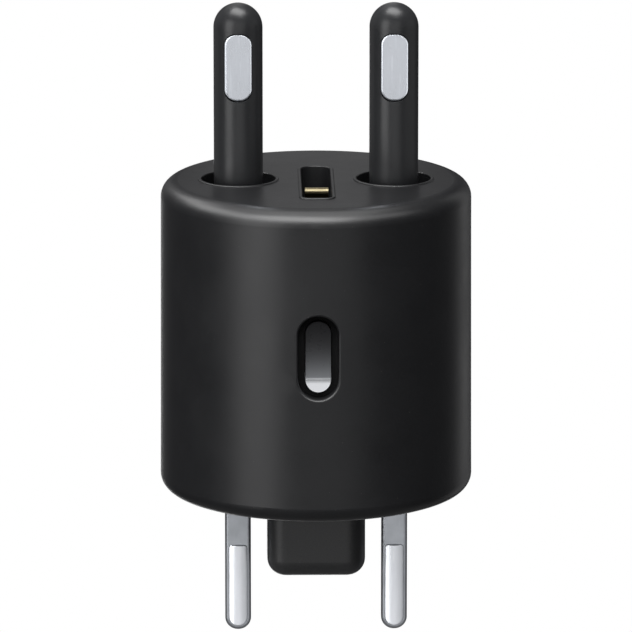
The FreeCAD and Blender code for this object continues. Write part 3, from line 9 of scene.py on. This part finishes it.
import bpy
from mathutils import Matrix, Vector


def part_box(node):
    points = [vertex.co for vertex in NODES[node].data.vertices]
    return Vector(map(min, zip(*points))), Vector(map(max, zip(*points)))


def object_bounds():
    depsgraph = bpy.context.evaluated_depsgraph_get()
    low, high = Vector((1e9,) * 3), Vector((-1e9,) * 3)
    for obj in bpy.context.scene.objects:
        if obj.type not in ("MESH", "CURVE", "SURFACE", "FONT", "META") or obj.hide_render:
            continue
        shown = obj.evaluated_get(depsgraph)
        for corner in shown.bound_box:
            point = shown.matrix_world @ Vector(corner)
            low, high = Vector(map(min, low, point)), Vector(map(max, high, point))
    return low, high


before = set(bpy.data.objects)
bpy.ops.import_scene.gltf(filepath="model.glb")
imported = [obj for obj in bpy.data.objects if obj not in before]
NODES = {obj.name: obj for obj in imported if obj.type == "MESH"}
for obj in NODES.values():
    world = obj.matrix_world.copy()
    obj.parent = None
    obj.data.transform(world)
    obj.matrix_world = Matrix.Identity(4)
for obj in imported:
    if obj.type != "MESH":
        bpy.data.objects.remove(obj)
CAD_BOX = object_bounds()
MM = 0.001

# Landmarks, all from the frame.
BODY_LOW, BODY_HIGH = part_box("body_shell")
BODY_MIDDLE = (BODY_LOW + BODY_HIGH) / 2
LENS_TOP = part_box("button_lens")[1].z
CAP_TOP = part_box("button_cap")[1].z
LEAF_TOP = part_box("centre_contact")[1].z
OBJECT_LOW, OBJECT_HIGH = CAD_BOX

# The span that most of a noise's values lie in.
MIDTONES = (0.3, 0.7)


# ---------------------------------------------------------------- node helpers


class Recipe:
    """A material under construction: its node tree, and short ways to add to it."""

    def __init__(self, name):
        self.material = bpy.data.materials.new(name)
        self.material.use_nodes = True
        self.tree = self.material.node_tree
        self.shader = self.tree.nodes["Principled BSDF"]
        self.place = self.tree.nodes.new("ShaderNodeTexCoord").outputs["Object"]

    def add(self, kind, **inputs):
        """Adds a node. Each input is a number, a colour or another node's output."""
        node = self.tree.nodes.new("ShaderNode" + kind)
        for name, value in inputs.items():
            self.feed(node.inputs[name], value)
        return node

    def feed(self, socket, value):
        if isinstance(value, bpy.types.NodeSocket):
            self.tree.links.new(value, socket)
        else:
            socket.default_value = value

    def set(self, **inputs):
        """Sets or links sockets of the Principled shader, with _ for a space."""
        for name, value in inputs.items():
            self.feed(self.shader.inputs[name.replace("_", " ")], value)

    def base_colour(self):
        """The output that colours the shader so far."""
        return self.shader.inputs["Base Color"].links[0].from_socket

    def stretched(self, x=1.0, y=1.0, z=1.0):
        """Object coordinates, scaled along each axis."""
        node = self.add("Mapping", Vector=self.place)
        node.inputs["Scale"].default_value = (x, y, z)
        return node.outputs["Vector"]

    def noise(self, size, detail=3.0, rough=0.5, at=None):
        """Soft noise whose blobs measure about size, in metres, from 0 to 1."""
        node = self.add("TexNoise", Vector=at or self.place)
        node.inputs["Scale"].default_value = 1 / size
        node.inputs["Detail"].default_value = detail
        node.inputs["Roughness"].default_value = rough
        return node.outputs["Fac"]

    def cells(self, size):
        """Distance to the nearest point of a scatter about size apart, in cell widths."""
        node = self.add("TexVoronoi", Vector=self.place)
        node.inputs["Scale"].default_value = 1 / size
        return node.outputs["Distance"]

    def remap(self, value, low, high, out_low=0.0, out_high=1.0):
        """Value carried from low..high to out_low..out_high, held at the ends."""
        node = self.add("MapRange", Value=value)
        node.clamp = True
        for name, number in (
            ("From Min", low),
            ("From Max", high),
            ("To Min", out_low),
            ("To Max", out_high),
        ):
            node.inputs[name].default_value = number
        return node.outputs["Result"]

    def maths(self, operation, a, b=0.0):
        node = self.tree.nodes.new("ShaderNodeMath")
        node.operation = operation
        self.feed(node.inputs[0], a)
        self.feed(node.inputs[1], b)
        return node.outputs["Value"]

    def axis(self, name):
        """One object coordinate, in metres."""
        return self.add("SeparateXYZ", Vector=self.place).outputs[name]

    def mix(self, amount, first, second):
        """A colour between two, each a colour or an output."""
        node = self.tree.nodes.new("ShaderNodeMix")
        node.data_type = "RGBA"
        self.feed(node.inputs["Factor"], amount)
        self.feed(node.inputs[6], first)
        self.feed(node.inputs[7], second)
        return node.outputs[2]

    def bump(self, height, depth):
        """A normal from a height of 0 to 1 that stands for depth, in metres."""
        node = self.add("Bump", Height=height)
        node.inputs["Distance"].default_value = depth
        node.inputs["Strength"].default_value = 1.0
        return node.outputs["Normal"]


def shade(r, g, b):
    return (r, g, b, 1.0)


def tinted(colour, factor):
    return shade(*(min(1.0, channel * factor) for channel in colour[:3]))


# ---------------------------------------------------------------- moulded plastics


def moulded(name, colour, roughness, grain=0.16 * MM, depth=0.004 * MM, worn=1.35):
    """Moulded plastic: fine spark-eroded grain, faint cloudy sheen, and dust specks.

    grain and depth are the size and the height of the grain, and its crests are worn
    times as light as the rest."""
    m = Recipe(name)
    speck_pitch, speck_radius, speck_strength = 1.3 * MM, 0.035, 0.35
    dust_colour = shade(0.35, 0.34, 0.32)
    clouds = m.noise(7 * MM, detail=4, rough=0.6)
    fine = m.noise(grain, detail=2)
    specks = m.remap(m.cells(speck_pitch), speck_radius, 0.0)
    base = m.mix(m.remap(clouds, *MIDTONES), tinted(colour, 0.9), tinted(colour, 1.1))
    base = m.mix(m.remap(fine, 0.35, 0.65), base, tinted(colour, worn))
    dust = m.maths("MULTIPLY", specks, speck_strength)
    m.set(Base_Color=m.mix(dust, base, dust_colour))
    sheen = m.remap(clouds, 0.25, 0.75, roughness - 0.035, roughness + 0.045)
    m.set(Roughness=m.maths("ADD", sheen, m.remap(fine, *MIDTONES, -0.02, 0.02)))
    m.set(Normal=m.bump(fine, depth), IOR=1.5)
    return m


def body_black():
    return moulded("body_black", shade(0.0048, 0.0049, 0.0054), roughness=0.37).material


def boss_black_painted_lighter():
    # Painted light: a lighter copy of the body's black plastic, standing in for the bounce light
    # the boss gets under the body.
    return moulded("boss_black_painted_lighter", shade(0.024, 0.0243, 0.025), roughness=0.40).material


def sheath_black():
    """Smoother black nylon with faint lengthwise scuffs from being plugged in."""
    black = shade(0.031, 0.032, 0.034)
    scuff_width, scuff_strength, scuffed_length = 0.5 * MM, 0.18, 22 * MM
    m = moulded("sheath_black", black, roughness=0.33, depth=0.002 * MM, worn=1.1)
    scuffs = m.noise(scuff_width, detail=5, rough=0.7, at=m.stretched(z=0.03))
    scuffs = m.remap(scuffs, 0.62, 0.72)
    near_tip = m.remap(m.axis("Z"), OBJECT_HIGH.z - scuffed_length, OBJECT_HIGH.z)
    worn = m.maths("MULTIPLY", scuffs, m.maths("MULTIPLY", near_tip, scuff_strength))
    m.set(Base_Color=m.mix(worn, m.base_colour(), shade(0.09, 0.09, 0.095)))
    return m.material


def ring_black():
    """Deep matt black, for the recess round the button."""
    black = shade(0.0025, 0.0025, 0.0027)
    m = moulded("ring_black", black, roughness=0.6, depth=0.002 * MM)
    m.set(Specular_IOR_Level=0.1)
    return m.material


def button_gloss():
    """Smoky plastic with a painted glow: dark at its upper end, painted lighter towards the
    light window, as if the status light shone up through it.
    """
    m = Recipe("button_gloss")
    z = m.axis("Z")
    dark_length, dark_power = 0.75 * MM, 3.1
    bleed_above, bleed_below, bleed_power = 0.3 * MM, 0.1 * MM, 2.0
    clouds = m.noise(2.5 * MM, detail=3)
    dark = m.mix(clouds, shade(0.008, 0.008, 0.0086), shade(0.011, 0.011, 0.0117))
    # Painted glow: the colour lightens from the cap's upper end down to the light window,
    # standing in for light shining through.
    glow = m.maths("POWER", m.remap(z, CAP_TOP - dark_length, LENS_TOP), dark_power)
    smoke_and_painted_glow = m.mix(glow, dark, shade(0.100, 0.104, 0.111))
    # Painted glow: nearly white just above the light window.
    painted_lens_glow = m.remap(z, LENS_TOP + bleed_above, LENS_TOP - bleed_below)
    painted_lens_glow = m.maths("POWER", painted_lens_glow, bleed_power)
    m.set(Base_Color=m.mix(painted_lens_glow, smoke_and_painted_glow, shade(0.52, 0.53, 0.55)))
    m.set(Roughness=m.remap(m.noise(0.8 * MM), *MIDTONES, 0.26, 0.34))
    m.set(Normal=m.bump(m.noise(0.35 * MM), 0.0006 * MM), Specular_IOR_Level=0.3)
    return m.material


def lens_milky():
    """Milky light window with a soft glow, which fades into the smoky cap above it."""
    m = Recipe("lens_milky")
    fade_length = 0.55 * MM
    clouds = m.noise(0.9 * MM, detail=3)
    milky = m.mix(clouds, shade(0.70, 0.71, 0.72), shade(0.84, 0.85, 0.86))
    into_smoke = m.remap(m.axis("Z"), LENS_TOP - fade_length, LENS_TOP)
    glow = m.mix(into_smoke, shade(0.93, 0.95, 1.0), shade(0.12, 0.123, 0.13))
    m.set(Base_Color=m.mix(into_smoke, milky, shade(0.3, 0.31, 0.32)))
    m.set(Roughness=m.remap(m.noise(0.3 * MM), *MIDTONES, 0.22, 0.32))
    m.set(Normal=m.bump(m.noise(0.25 * MM), 0.0008 * MM))
    m.set(Emission_Color=glow, Emission_Strength=0.34)
    return m.material


# ---------------------------------------------------------------- metals


def metal(name, colour, roughness, along="z", line=0.05 * MM, depth=0.0015 * MM, stain=0.8):
    """Drawn or brushed metal: fine lines along one axis, tarnish clouds, small scratches.

    line and depth are the width and the height of the lines, and tarnished patches are
    stain times as light as the rest."""
    m = Recipe(name)
    line_squeeze, scratch_squeeze, scratch_strength = 0.02, 0.06, 0.3
    lines = m.noise(line, detail=3, rough=0.6, at=m.stretched(**{along: line_squeeze}))
    clouds = m.noise(3.5 * MM, detail=5, rough=0.6)
    base = m.mix(m.remap(clouds, 0.35, 0.7), colour, tinted(colour, stain))
    base = m.mix(m.remap(lines, 0.4, 0.75, 0, 0.35), base, tinted(colour, 1.12))
    scratch = m.noise(0.35 * MM, detail=2, at=m.stretched(**{along: scratch_squeeze}))
    scratch = m.maths("MULTIPLY", m.remap(scratch, 0.66, 0.70), scratch_strength)
    m.set(Base_Color=m.mix(scratch, base, tinted(colour, 1.25)))
    sheen = m.remap(clouds, *MIDTONES, roughness - 0.04, roughness + 0.06)
    m.set(Roughness=m.maths("ADD", sheen, m.remap(lines, *MIDTONES, -0.04, 0.05)))
    m.set(Metallic=1.0, Normal=m.bump(lines, depth))
    return m


def nickel():
    return metal("nickel", shade(0.45, 0.47, 0.50), roughness=0.42).material


def silver():
    colour, depth = shade(0.84, 0.86, 0.90), 0.0006 * MM
    return metal("silver", colour, roughness=0.43, depth=depth, stain=0.95).material


def pad_silver():
    colour, depth = shade(0.63, 0.655, 0.70), 0.0004 * MM
    return metal("pad_silver", colour, roughness=0.30, depth=depth, stain=0.96).material


def brass():
    """Brass with painted shade: below the rolled edge the sprung part is painted dark, standing
    in for the shade deep in the slot.
    """
    bright_length, dark_from = 0.52 * MM, 0.82 * MM
    m = metal("brass", shade(0.86, 0.74, 0.46), roughness=0.42, along="x", stain=0.85)
    # Painted shade: darker below the rolled edge, where the slot shades the leaf.
    painted_slot_shade = m.remap(m.axis("Z"), LEAF_TOP - bright_length, LEAF_TOP - dark_from)
    m.set(Base_Color=m.mix(painted_slot_shade, m.base_colour(), shade(0.03, 0.022, 0.008)))
    return m.material


def copper():
    return metal("copper", shade(0.80, 0.42, 0.26), roughness=0.32, stain=0.7).material


def zinc():
    return metal("zinc", shade(0.58, 0.58, 0.57), roughness=0.36, along="x", stain=0.82).material


def iron():
    return metal("iron", shade(0.30, 0.30, 0.31), roughness=0.5, along="x", stain=0.75).material


def tin():
    return metal("tin", shade(0.74, 0.75, 0.76), roughness=0.3, along="x", stain=0.88).material


def gold_track():
    colour = shade(0.85, 0.62, 0.25)
    return metal("gold_track", colour, roughness=0.3, along="x", stain=0.85).material


# ---------------------------------------------------------------- inside


def board(name, colour, lighter):
    """Circuit board: solder mask with raised copper tracks and a glass weave under it."""
    m = Recipe(name)
    track_pitch, track_width, track_share = 4 * MM, 0.07, 0.8
    tracks = m.add("TexBrick", Vector=m.place)
    tracks.inputs["Scale"].default_value = 1 / track_pitch
    tracks.inputs["Mortar Size"].default_value = track_width
    lines = tracks.outputs["Fac"]
    weave = m.noise(0.25 * MM, detail=2)
    base = m.mix(m.remap(weave, *MIDTONES), tinted(colour, 0.85), tinted(colour, 1.15))
    m.set(Base_Color=m.mix(lines, base, lighter))
    m.set(Roughness=m.remap(weave, *MIDTONES, 0.26, 0.38))
    raised = m.maths("MULTIPLY", lines, track_share)
    height = m.maths("ADD", raised, m.maths("MULTIPLY", weave, 1 - track_share))
    m.set(Normal=m.bump(height, 0.03 * MM))
    return m.material


def wound(name, colour, wire):
    """Enamelled wire wound in level turns, with painted shade in the grooves between them."""
    m = Recipe(name)
    turns = m.add("TexWave", Vector=m.place)
    turns.bands_direction = "Z"
    turns.inputs["Scale"].default_value = 1 / (wire * math.pi)
    turns.inputs["Distortion"].default_value = 0.4
    ridges = turns.outputs["Fac"]
    # Painted shade: the grooves between turns are darker than the wire's own colour.
    m.set(Base_Color=m.mix(ridges, tinted(colour, 0.45), colour))
    m.set(Roughness=m.remap(m.noise(1 * MM), *MIDTONES, 0.2, 0.34))
    m.set(Normal=m.bump(ridges, wire / 2), Coat_Weight=0.5)
    return m.material


def speckled(name, colour, speck, roughness):
    """Pressed ceramic or ferrite: a matt ground with small brighter grains."""
    m = Recipe(name)
    grains = m.remap(m.cells(0.4 * MM), 0.16, 0.1)
    ground = m.noise(1.2 * MM, detail=4)
    base = m.mix(ground, tinted(colour, 0.8), tinted(colour, 1.2))
    m.set(Base_Color=m.mix(m.maths("MULTIPLY", grains, 0.5), base, speck))
    m.set(Roughness=m.remap(ground, *MIDTONES, roughness - 0.08, roughness + 0.08))
    m.set(Normal=m.bump(m.noise(0.3 * MM), 0.01 * MM))
    return m.material


def dipped(name, colour):
    """Thick glossy coating that ran a little before it set."""
    m = Recipe(name)
    runs = m.noise(1.8 * MM, detail=2)
    m.set(Base_Color=m.mix(runs, tinted(colour, 0.8), tinted(colour, 1.15)))
    m.set(Roughness=m.remap(m.noise(0.6 * MM), *MIDTONES, 0.14, 0.24))
    m.set(Normal=m.bump(runs, 0.06 * MM), Coat_Weight=0.6)
    return m.material


# ---------------------------------------------------------------- who wears what


def dress(material, *names):
    """Gives a material to CAD nodes."""
    for name in names:
        for slot in NODES[name].material_slots:
            slot.material = material


def both(name):
    return name + "_left", name + "_right"


def dress_outside():
    black = body_black()
    dress(black, "body_shell", "base_cover", "slot_liner", *both("pin_cup"))
    dress(boss_black_painted_lighter(), "guide_boss")
    dress(sheath_black(), *both("pin_sheath"))
    dress(nickel(), *both("blade"), *both("pin_core"))
    dress(silver(), *both("blade_strip"))
    dress(pad_silver(), *both("contact_pad"))
    dress(brass(), "centre_contact", "centre_strap")
    dress(zinc(), "base_screws", "pin_nuts")
    dress(ring_black(), "button_frame")
    dress(button_gloss(), "button_cap")
    dress(lens_milky(), "button_lens", "status_light")


def dress_boards():
    green = board("mask_green", shade(0.010, 0.11, 0.05), shade(0.03, 0.20, 0.09))
    blue = board("mask_blue", shade(0.008, 0.03, 0.08), shade(0.02, 0.07, 0.15))
    dress(green, "main_board", "control_board")
    dress(blue, "radio_board")
    dress(gold_track(), "radio_aerial", "board_link_pins")
    dress(tin(), "radio_shield")


def dress_components():
    epoxy = moulded("epoxy_black", shade(0.018, 0.018, 0.018), 0.55, grain=0.1 * MM)
    dress(
        epoxy.material,
        "switch_body",
        "radio_chip",
        "bridge_rectifier",
        "power_meter_chip",
        "transformer_base",
        "overheat_sensor",
    )
    nylon = moulded("nylon_white", shade(0.78, 0.76, 0.70), 0.42, worn=1.05)
    dress(nylon.material, "switch_plunger", "relay_bobbin")
    case = moulded("relay_blue", shade(0.02, 0.10, 0.34), 0.34, worn=1.1)
    dress(case.material, "relay_base", "relay_cover")
    sleeve = moulded("sleeve_navy", shade(0.012, 0.02, 0.06), 0.28, worn=1.1)
    dress(sleeve.material, "bulk_capacitor")
    dress(dipped("varistor_blue", shade(0.02, 0.10, 0.45)), "varistor")
    dress(dipped("fuse_green", shade(0.10, 0.28, 0.12)), "fuse_resistor")
    ferrite = speckled("ferrite", shade(0.045, 0.045, 0.05), shade(0.2, 0.2, 0.22), 0.55)
    dress(ferrite, "transformer_core")
    dress(wound("relay_wire", shade(0.55, 0.16, 0.05), 0.1 * MM), "relay_winding")
    dress(wound("transformer_wire", shade(0.62, 0.24, 0.07), 0.25 * MM), "transformer_winding")
    dress(copper(), *both("bus_bar"), "relay_contact_arm", "relay_fixed_contact")
    dress(iron(), "relay_core", "relay_yoke", "relay_armature")


# ---------------------------------------------------------------- studio


LAMP_DISTANCE = 0.7


def towards(azimuth, elevation):
    """A unit vector to azimuth (0 is the front, 90 the right) and elevation, in degrees."""
    a, e = math.radians(azimuth), math.radians(elevation)
    return Vector((math.sin(a) * math.cos(e), -math.cos(a) * math.cos(e), math.sin(e)))


def softbox(name, at, size, radiance, distance=LAMP_DISTANCE):
    """A rectangular lamp that faces the body.

    at is its azimuth and elevation in degrees, size its width and height in metres, and
    radiance its brightness per area."""
    width, height = size
    lamp = bpy.data.lights.new(name, "AREA")
    lamp.shape = "RECTANGLE"
    lamp.size, lamp.size_y = width, height
    lamp.energy = radiance * width * height * math.pi
    holder = bpy.data.objects.new(name, lamp)
    back = towards(*at)
    holder.location = BODY_MIDDLE + back * distance
    holder.rotation_mode = "QUATERNION"
    holder.rotation_quaternion = back.to_track_quat("Z", "Y")
    holder.visible_camera = False
    bpy.context.scene.collection.objects.link(holder)
    return holder


def shine_on(lamps, *names):
    """Limits lamps to some CAD nodes."""
    chosen = bpy.data.collections.new(lamps[0].name + "_reach")
    for name in names:
        chosen.objects.link(NODES[name])
    for lamp in lamps:
        lamp.light_linking.receiver_collection = chosen


def spare(lamps, *names):
    """Keeps lamps off some CAD nodes."""
    spared = bpy.data.collections.new(lamps[0].name + "_spared")
    for name in names:
        spared.objects.link(NODES[name])
    for linked in spared.collection_objects:
        linked.light_linking.link_state = "EXCLUDE"
    for lamp in lamps:
        lamp.light_linking.receiver_collection = spared


def light_front():
    """A soft key from the left, a dim fill, and a sheen on the top face."""
    softbox("key", at=(-44, 10), size=(0.44, 0.74), radiance=2.32)
    softbox("front_fill", at=(9, 9), size=(0.6, 0.74), radiance=0.48)
    softbox("backdrop", at=(179.4, 19), size=(0.032, 0.085), radiance=0.25, distance=0.16)


def light_rims():
    """A high band that runs round the upper rim of the body."""
    band = [
        softbox("high_far_left", at=(-128, 38), size=(0.42, 0.2), radiance=4.3),
        softbox("high_left", at=(-79, 41), size=(0.68, 0.29), radiance=5.7),
        softbox("high_middle", at=(-11, 49), size=(0.72, 0.38), radiance=9.3),
        softbox("high_right", at=(56, 44), size=(0.5, 0.26), radiance=2.6),
        softbox("top", at=(0, 88), size=(0.7, 0.6), radiance=2.6),
    ]
    spare(band, "centre_contact", "button_lens", *both("pin_sheath"))


def light_pins():
    """A bright patch on the pins' round tips, and even fills along them."""
    lamps = [
        softbox("dome_light", at=(-30, 88), size=(0.6, 0.42), radiance=7.0),
        softbox("pin_front", at=(0, -6), size=(0.5, 0.9), radiance=0.2),
        softbox("pin_right", at=(84, -6), size=(0.8, 0.9), radiance=0.24),
        softbox("pin_left", at=(-125, -6), size=(0.6, 0.9), radiance=0.12),
        softbox("pin_back", at=(-178, 6), size=(0.2, 0.9), radiance=0.3),
    ]
    shine_on(lamps, *both("pin_sheath"))


def light_sides():
    """A thin line of light down each side of the body, and fills for its back and underside."""
    sides = [
        softbox("right_rim", at=(140, 0), size=(0.25, 0.9), radiance=0.42),
        softbox("left_rim", at=(-158, 0), size=(0.2, 0.9), radiance=0.16),
    ]
    shine_on(sides, "body_shell")
    softbox("back_left", at=(-172, -24), size=(0.2, 0.42), radiance=1.6)
    softbox("back_right", at=(174, -24), size=(0.14, 0.42), radiance=0.8)
    softbox("back_high", at=(-166, 46), size=(0.5, 0.3), radiance=0.5)
    softbox("floor_bounce", at=(0, -88), size=(1.5, 1.5), radiance=0.12)


def light_pads():
    """Fills for the silver pads in the pins."""
    fills = [
        softbox("pad_right", at=(84, -5), size=(0.8, 0.9), radiance=1.3),
        softbox("pad_front", at=(2, -8), size=(0.5, 0.9), radiance=0.3),
        softbox("pad_left", at=(-90, -5), size=(0.5, 0.9), radiance=0.9),
        softbox("pad_low", at=(0, -58), size=(0.9, 0.6), radiance=1.4),
    ]
    shine_on(fills, *both("contact_pad"))


def light_metal():
    """Fills for the pads and the blades together, then for the blades alone."""
    blades = [*both("blade_strip"), *both("blade")]
    shared = [
        softbox("metal_front", at=(2, -8), size=(0.5, 0.9), radiance=0.34),
        softbox("metal_right", at=(50, -5), size=(0.5, 1.0), radiance=0.5),
    ]
    shine_on(shared, *both("contact_pad"), *blades)
    low = softbox("blade_fill", at=(4, -22), size=(0.5, 0.6), radiance=0.20)
    shine_on([low], *blades)


def light_details():
    """One lamp each for the boss, the bright strips and the brass leaf."""
    boss = softbox("boss_fill", at=(0, -14), size=(0.5, 0.3), radiance=0.45)
    shine_on([boss], "guide_boss")
    strips = softbox("strip_key", at=(-52, 0), size=(0.3, 1.0), radiance=1.3)
    shine_on([strips], *both("blade_strip"))
    leaf = softbox("leaf_light", at=(-10, 50), size=(0.5, 0.5), radiance=1.9)
    shine_on([leaf], "centre_contact")


def make_lights():
    light_front()
    light_rims()
    light_pins()
    light_sides()
    light_pads()
    light_metal()
    light_details()


def make_floor():
    """A plain pale floor, lit to plain white, that doesn't mirror in the object."""
    half, gap = 3.0, 0.5 * MM
    z = OBJECT_LOW.z - gap
    mesh = bpy.data.meshes.new("floor")
    corners = [(-half, -half, z), (half, -half, z), (half, half, z), (-half, half, z)]
    mesh.from_pydata(corners, [], [(0, 1, 2, 3)])
    floor = bpy.data.objects.new("floor", mesh)
    bpy.context.scene.collection.objects.link(floor)
    material = bpy.data.materials.new("floor_white")
    material.use_nodes = True
    tree = material.node_tree
    tree.nodes.clear()
    output = tree.nodes.new("ShaderNodeOutputMaterial")
    shine = tree.nodes.new("ShaderNodeEmission")
    shine.inputs["Strength"].default_value = 1.0
    clear = tree.nodes.new("ShaderNodeBsdfTransparent")
    side = tree.nodes.new("ShaderNodeNewGeometry")
    pick = tree.nodes.new("ShaderNodeMixShader")
    tree.links.new(side.outputs["Backfacing"], pick.inputs[0])
    tree.links.new(shine.outputs[0], pick.inputs[1])
    tree.links.new(clear.outputs[0], pick.inputs[2])
    tree.links.new(pick.outputs[0], output.inputs["Surface"])
    mesh.materials.append(material)
    floor.visible_glossy = False
    floor.visible_diffuse = False
    floor.visible_shadow = False


def make_world():
    """White where the camera looks past the object, dim for everything else."""
    world = bpy.data.worlds.new("studio")
    bpy.context.scene.world = world
    world.use_nodes = True
    tree = world.node_tree
    tree.nodes.clear()
    output = tree.nodes.new("ShaderNodeOutputWorld")
    seen = tree.nodes.new("ShaderNodeBackground")
    seen.inputs["Color"].default_value = shade(1, 1, 1)
    unseen = tree.nodes.new("ShaderNodeBackground")
    unseen.inputs["Color"].default_value = shade(0.05, 0.05, 0.053)
    path = tree.nodes.new("ShaderNodeLightPath")
    pick = tree.nodes.new("ShaderNodeMixShader")
    tree.links.new(path.outputs["Is Camera Ray"], pick.inputs[0])
    tree.links.new(unseen.outputs[0], pick.inputs[1])
    tree.links.new(seen.outputs[0], pick.inputs[2])
    tree.links.new(pick.outputs[0], output.inputs["Surface"])


def make_camera():
    """A long lens at the photograph's angle, so that the body's sides stay parallel."""
    azimuth, elevation, distance = -0.87, 13.17, 0.80
    target = Vector((0, 0, 21.46 * MM))
    data = bpy.data.cameras.new("camera")
    data.sensor_width = 36.0
    data.lens = 370.6
    data.clip_start, data.clip_end = 0.05, 20.0
    camera = bpy.data.objects.new("camera", data)
    back = towards(azimuth, elevation)
    camera.location = target + back * distance
    camera.rotation_mode = "QUATERNION"
    camera.rotation_quaternion = back.to_track_quat("Z", "Y")
    bpy.context.scene.collection.objects.link(camera)
    bpy.context.scene.camera = camera


def set_tones():
    view = bpy.context.scene.view_settings
    view.view_transform = "Standard"
    view.look = "None"


make_camera()
dress_outside()
dress_boards()
dress_components()
make_lights()
make_floor()
make_world()
set_tones()
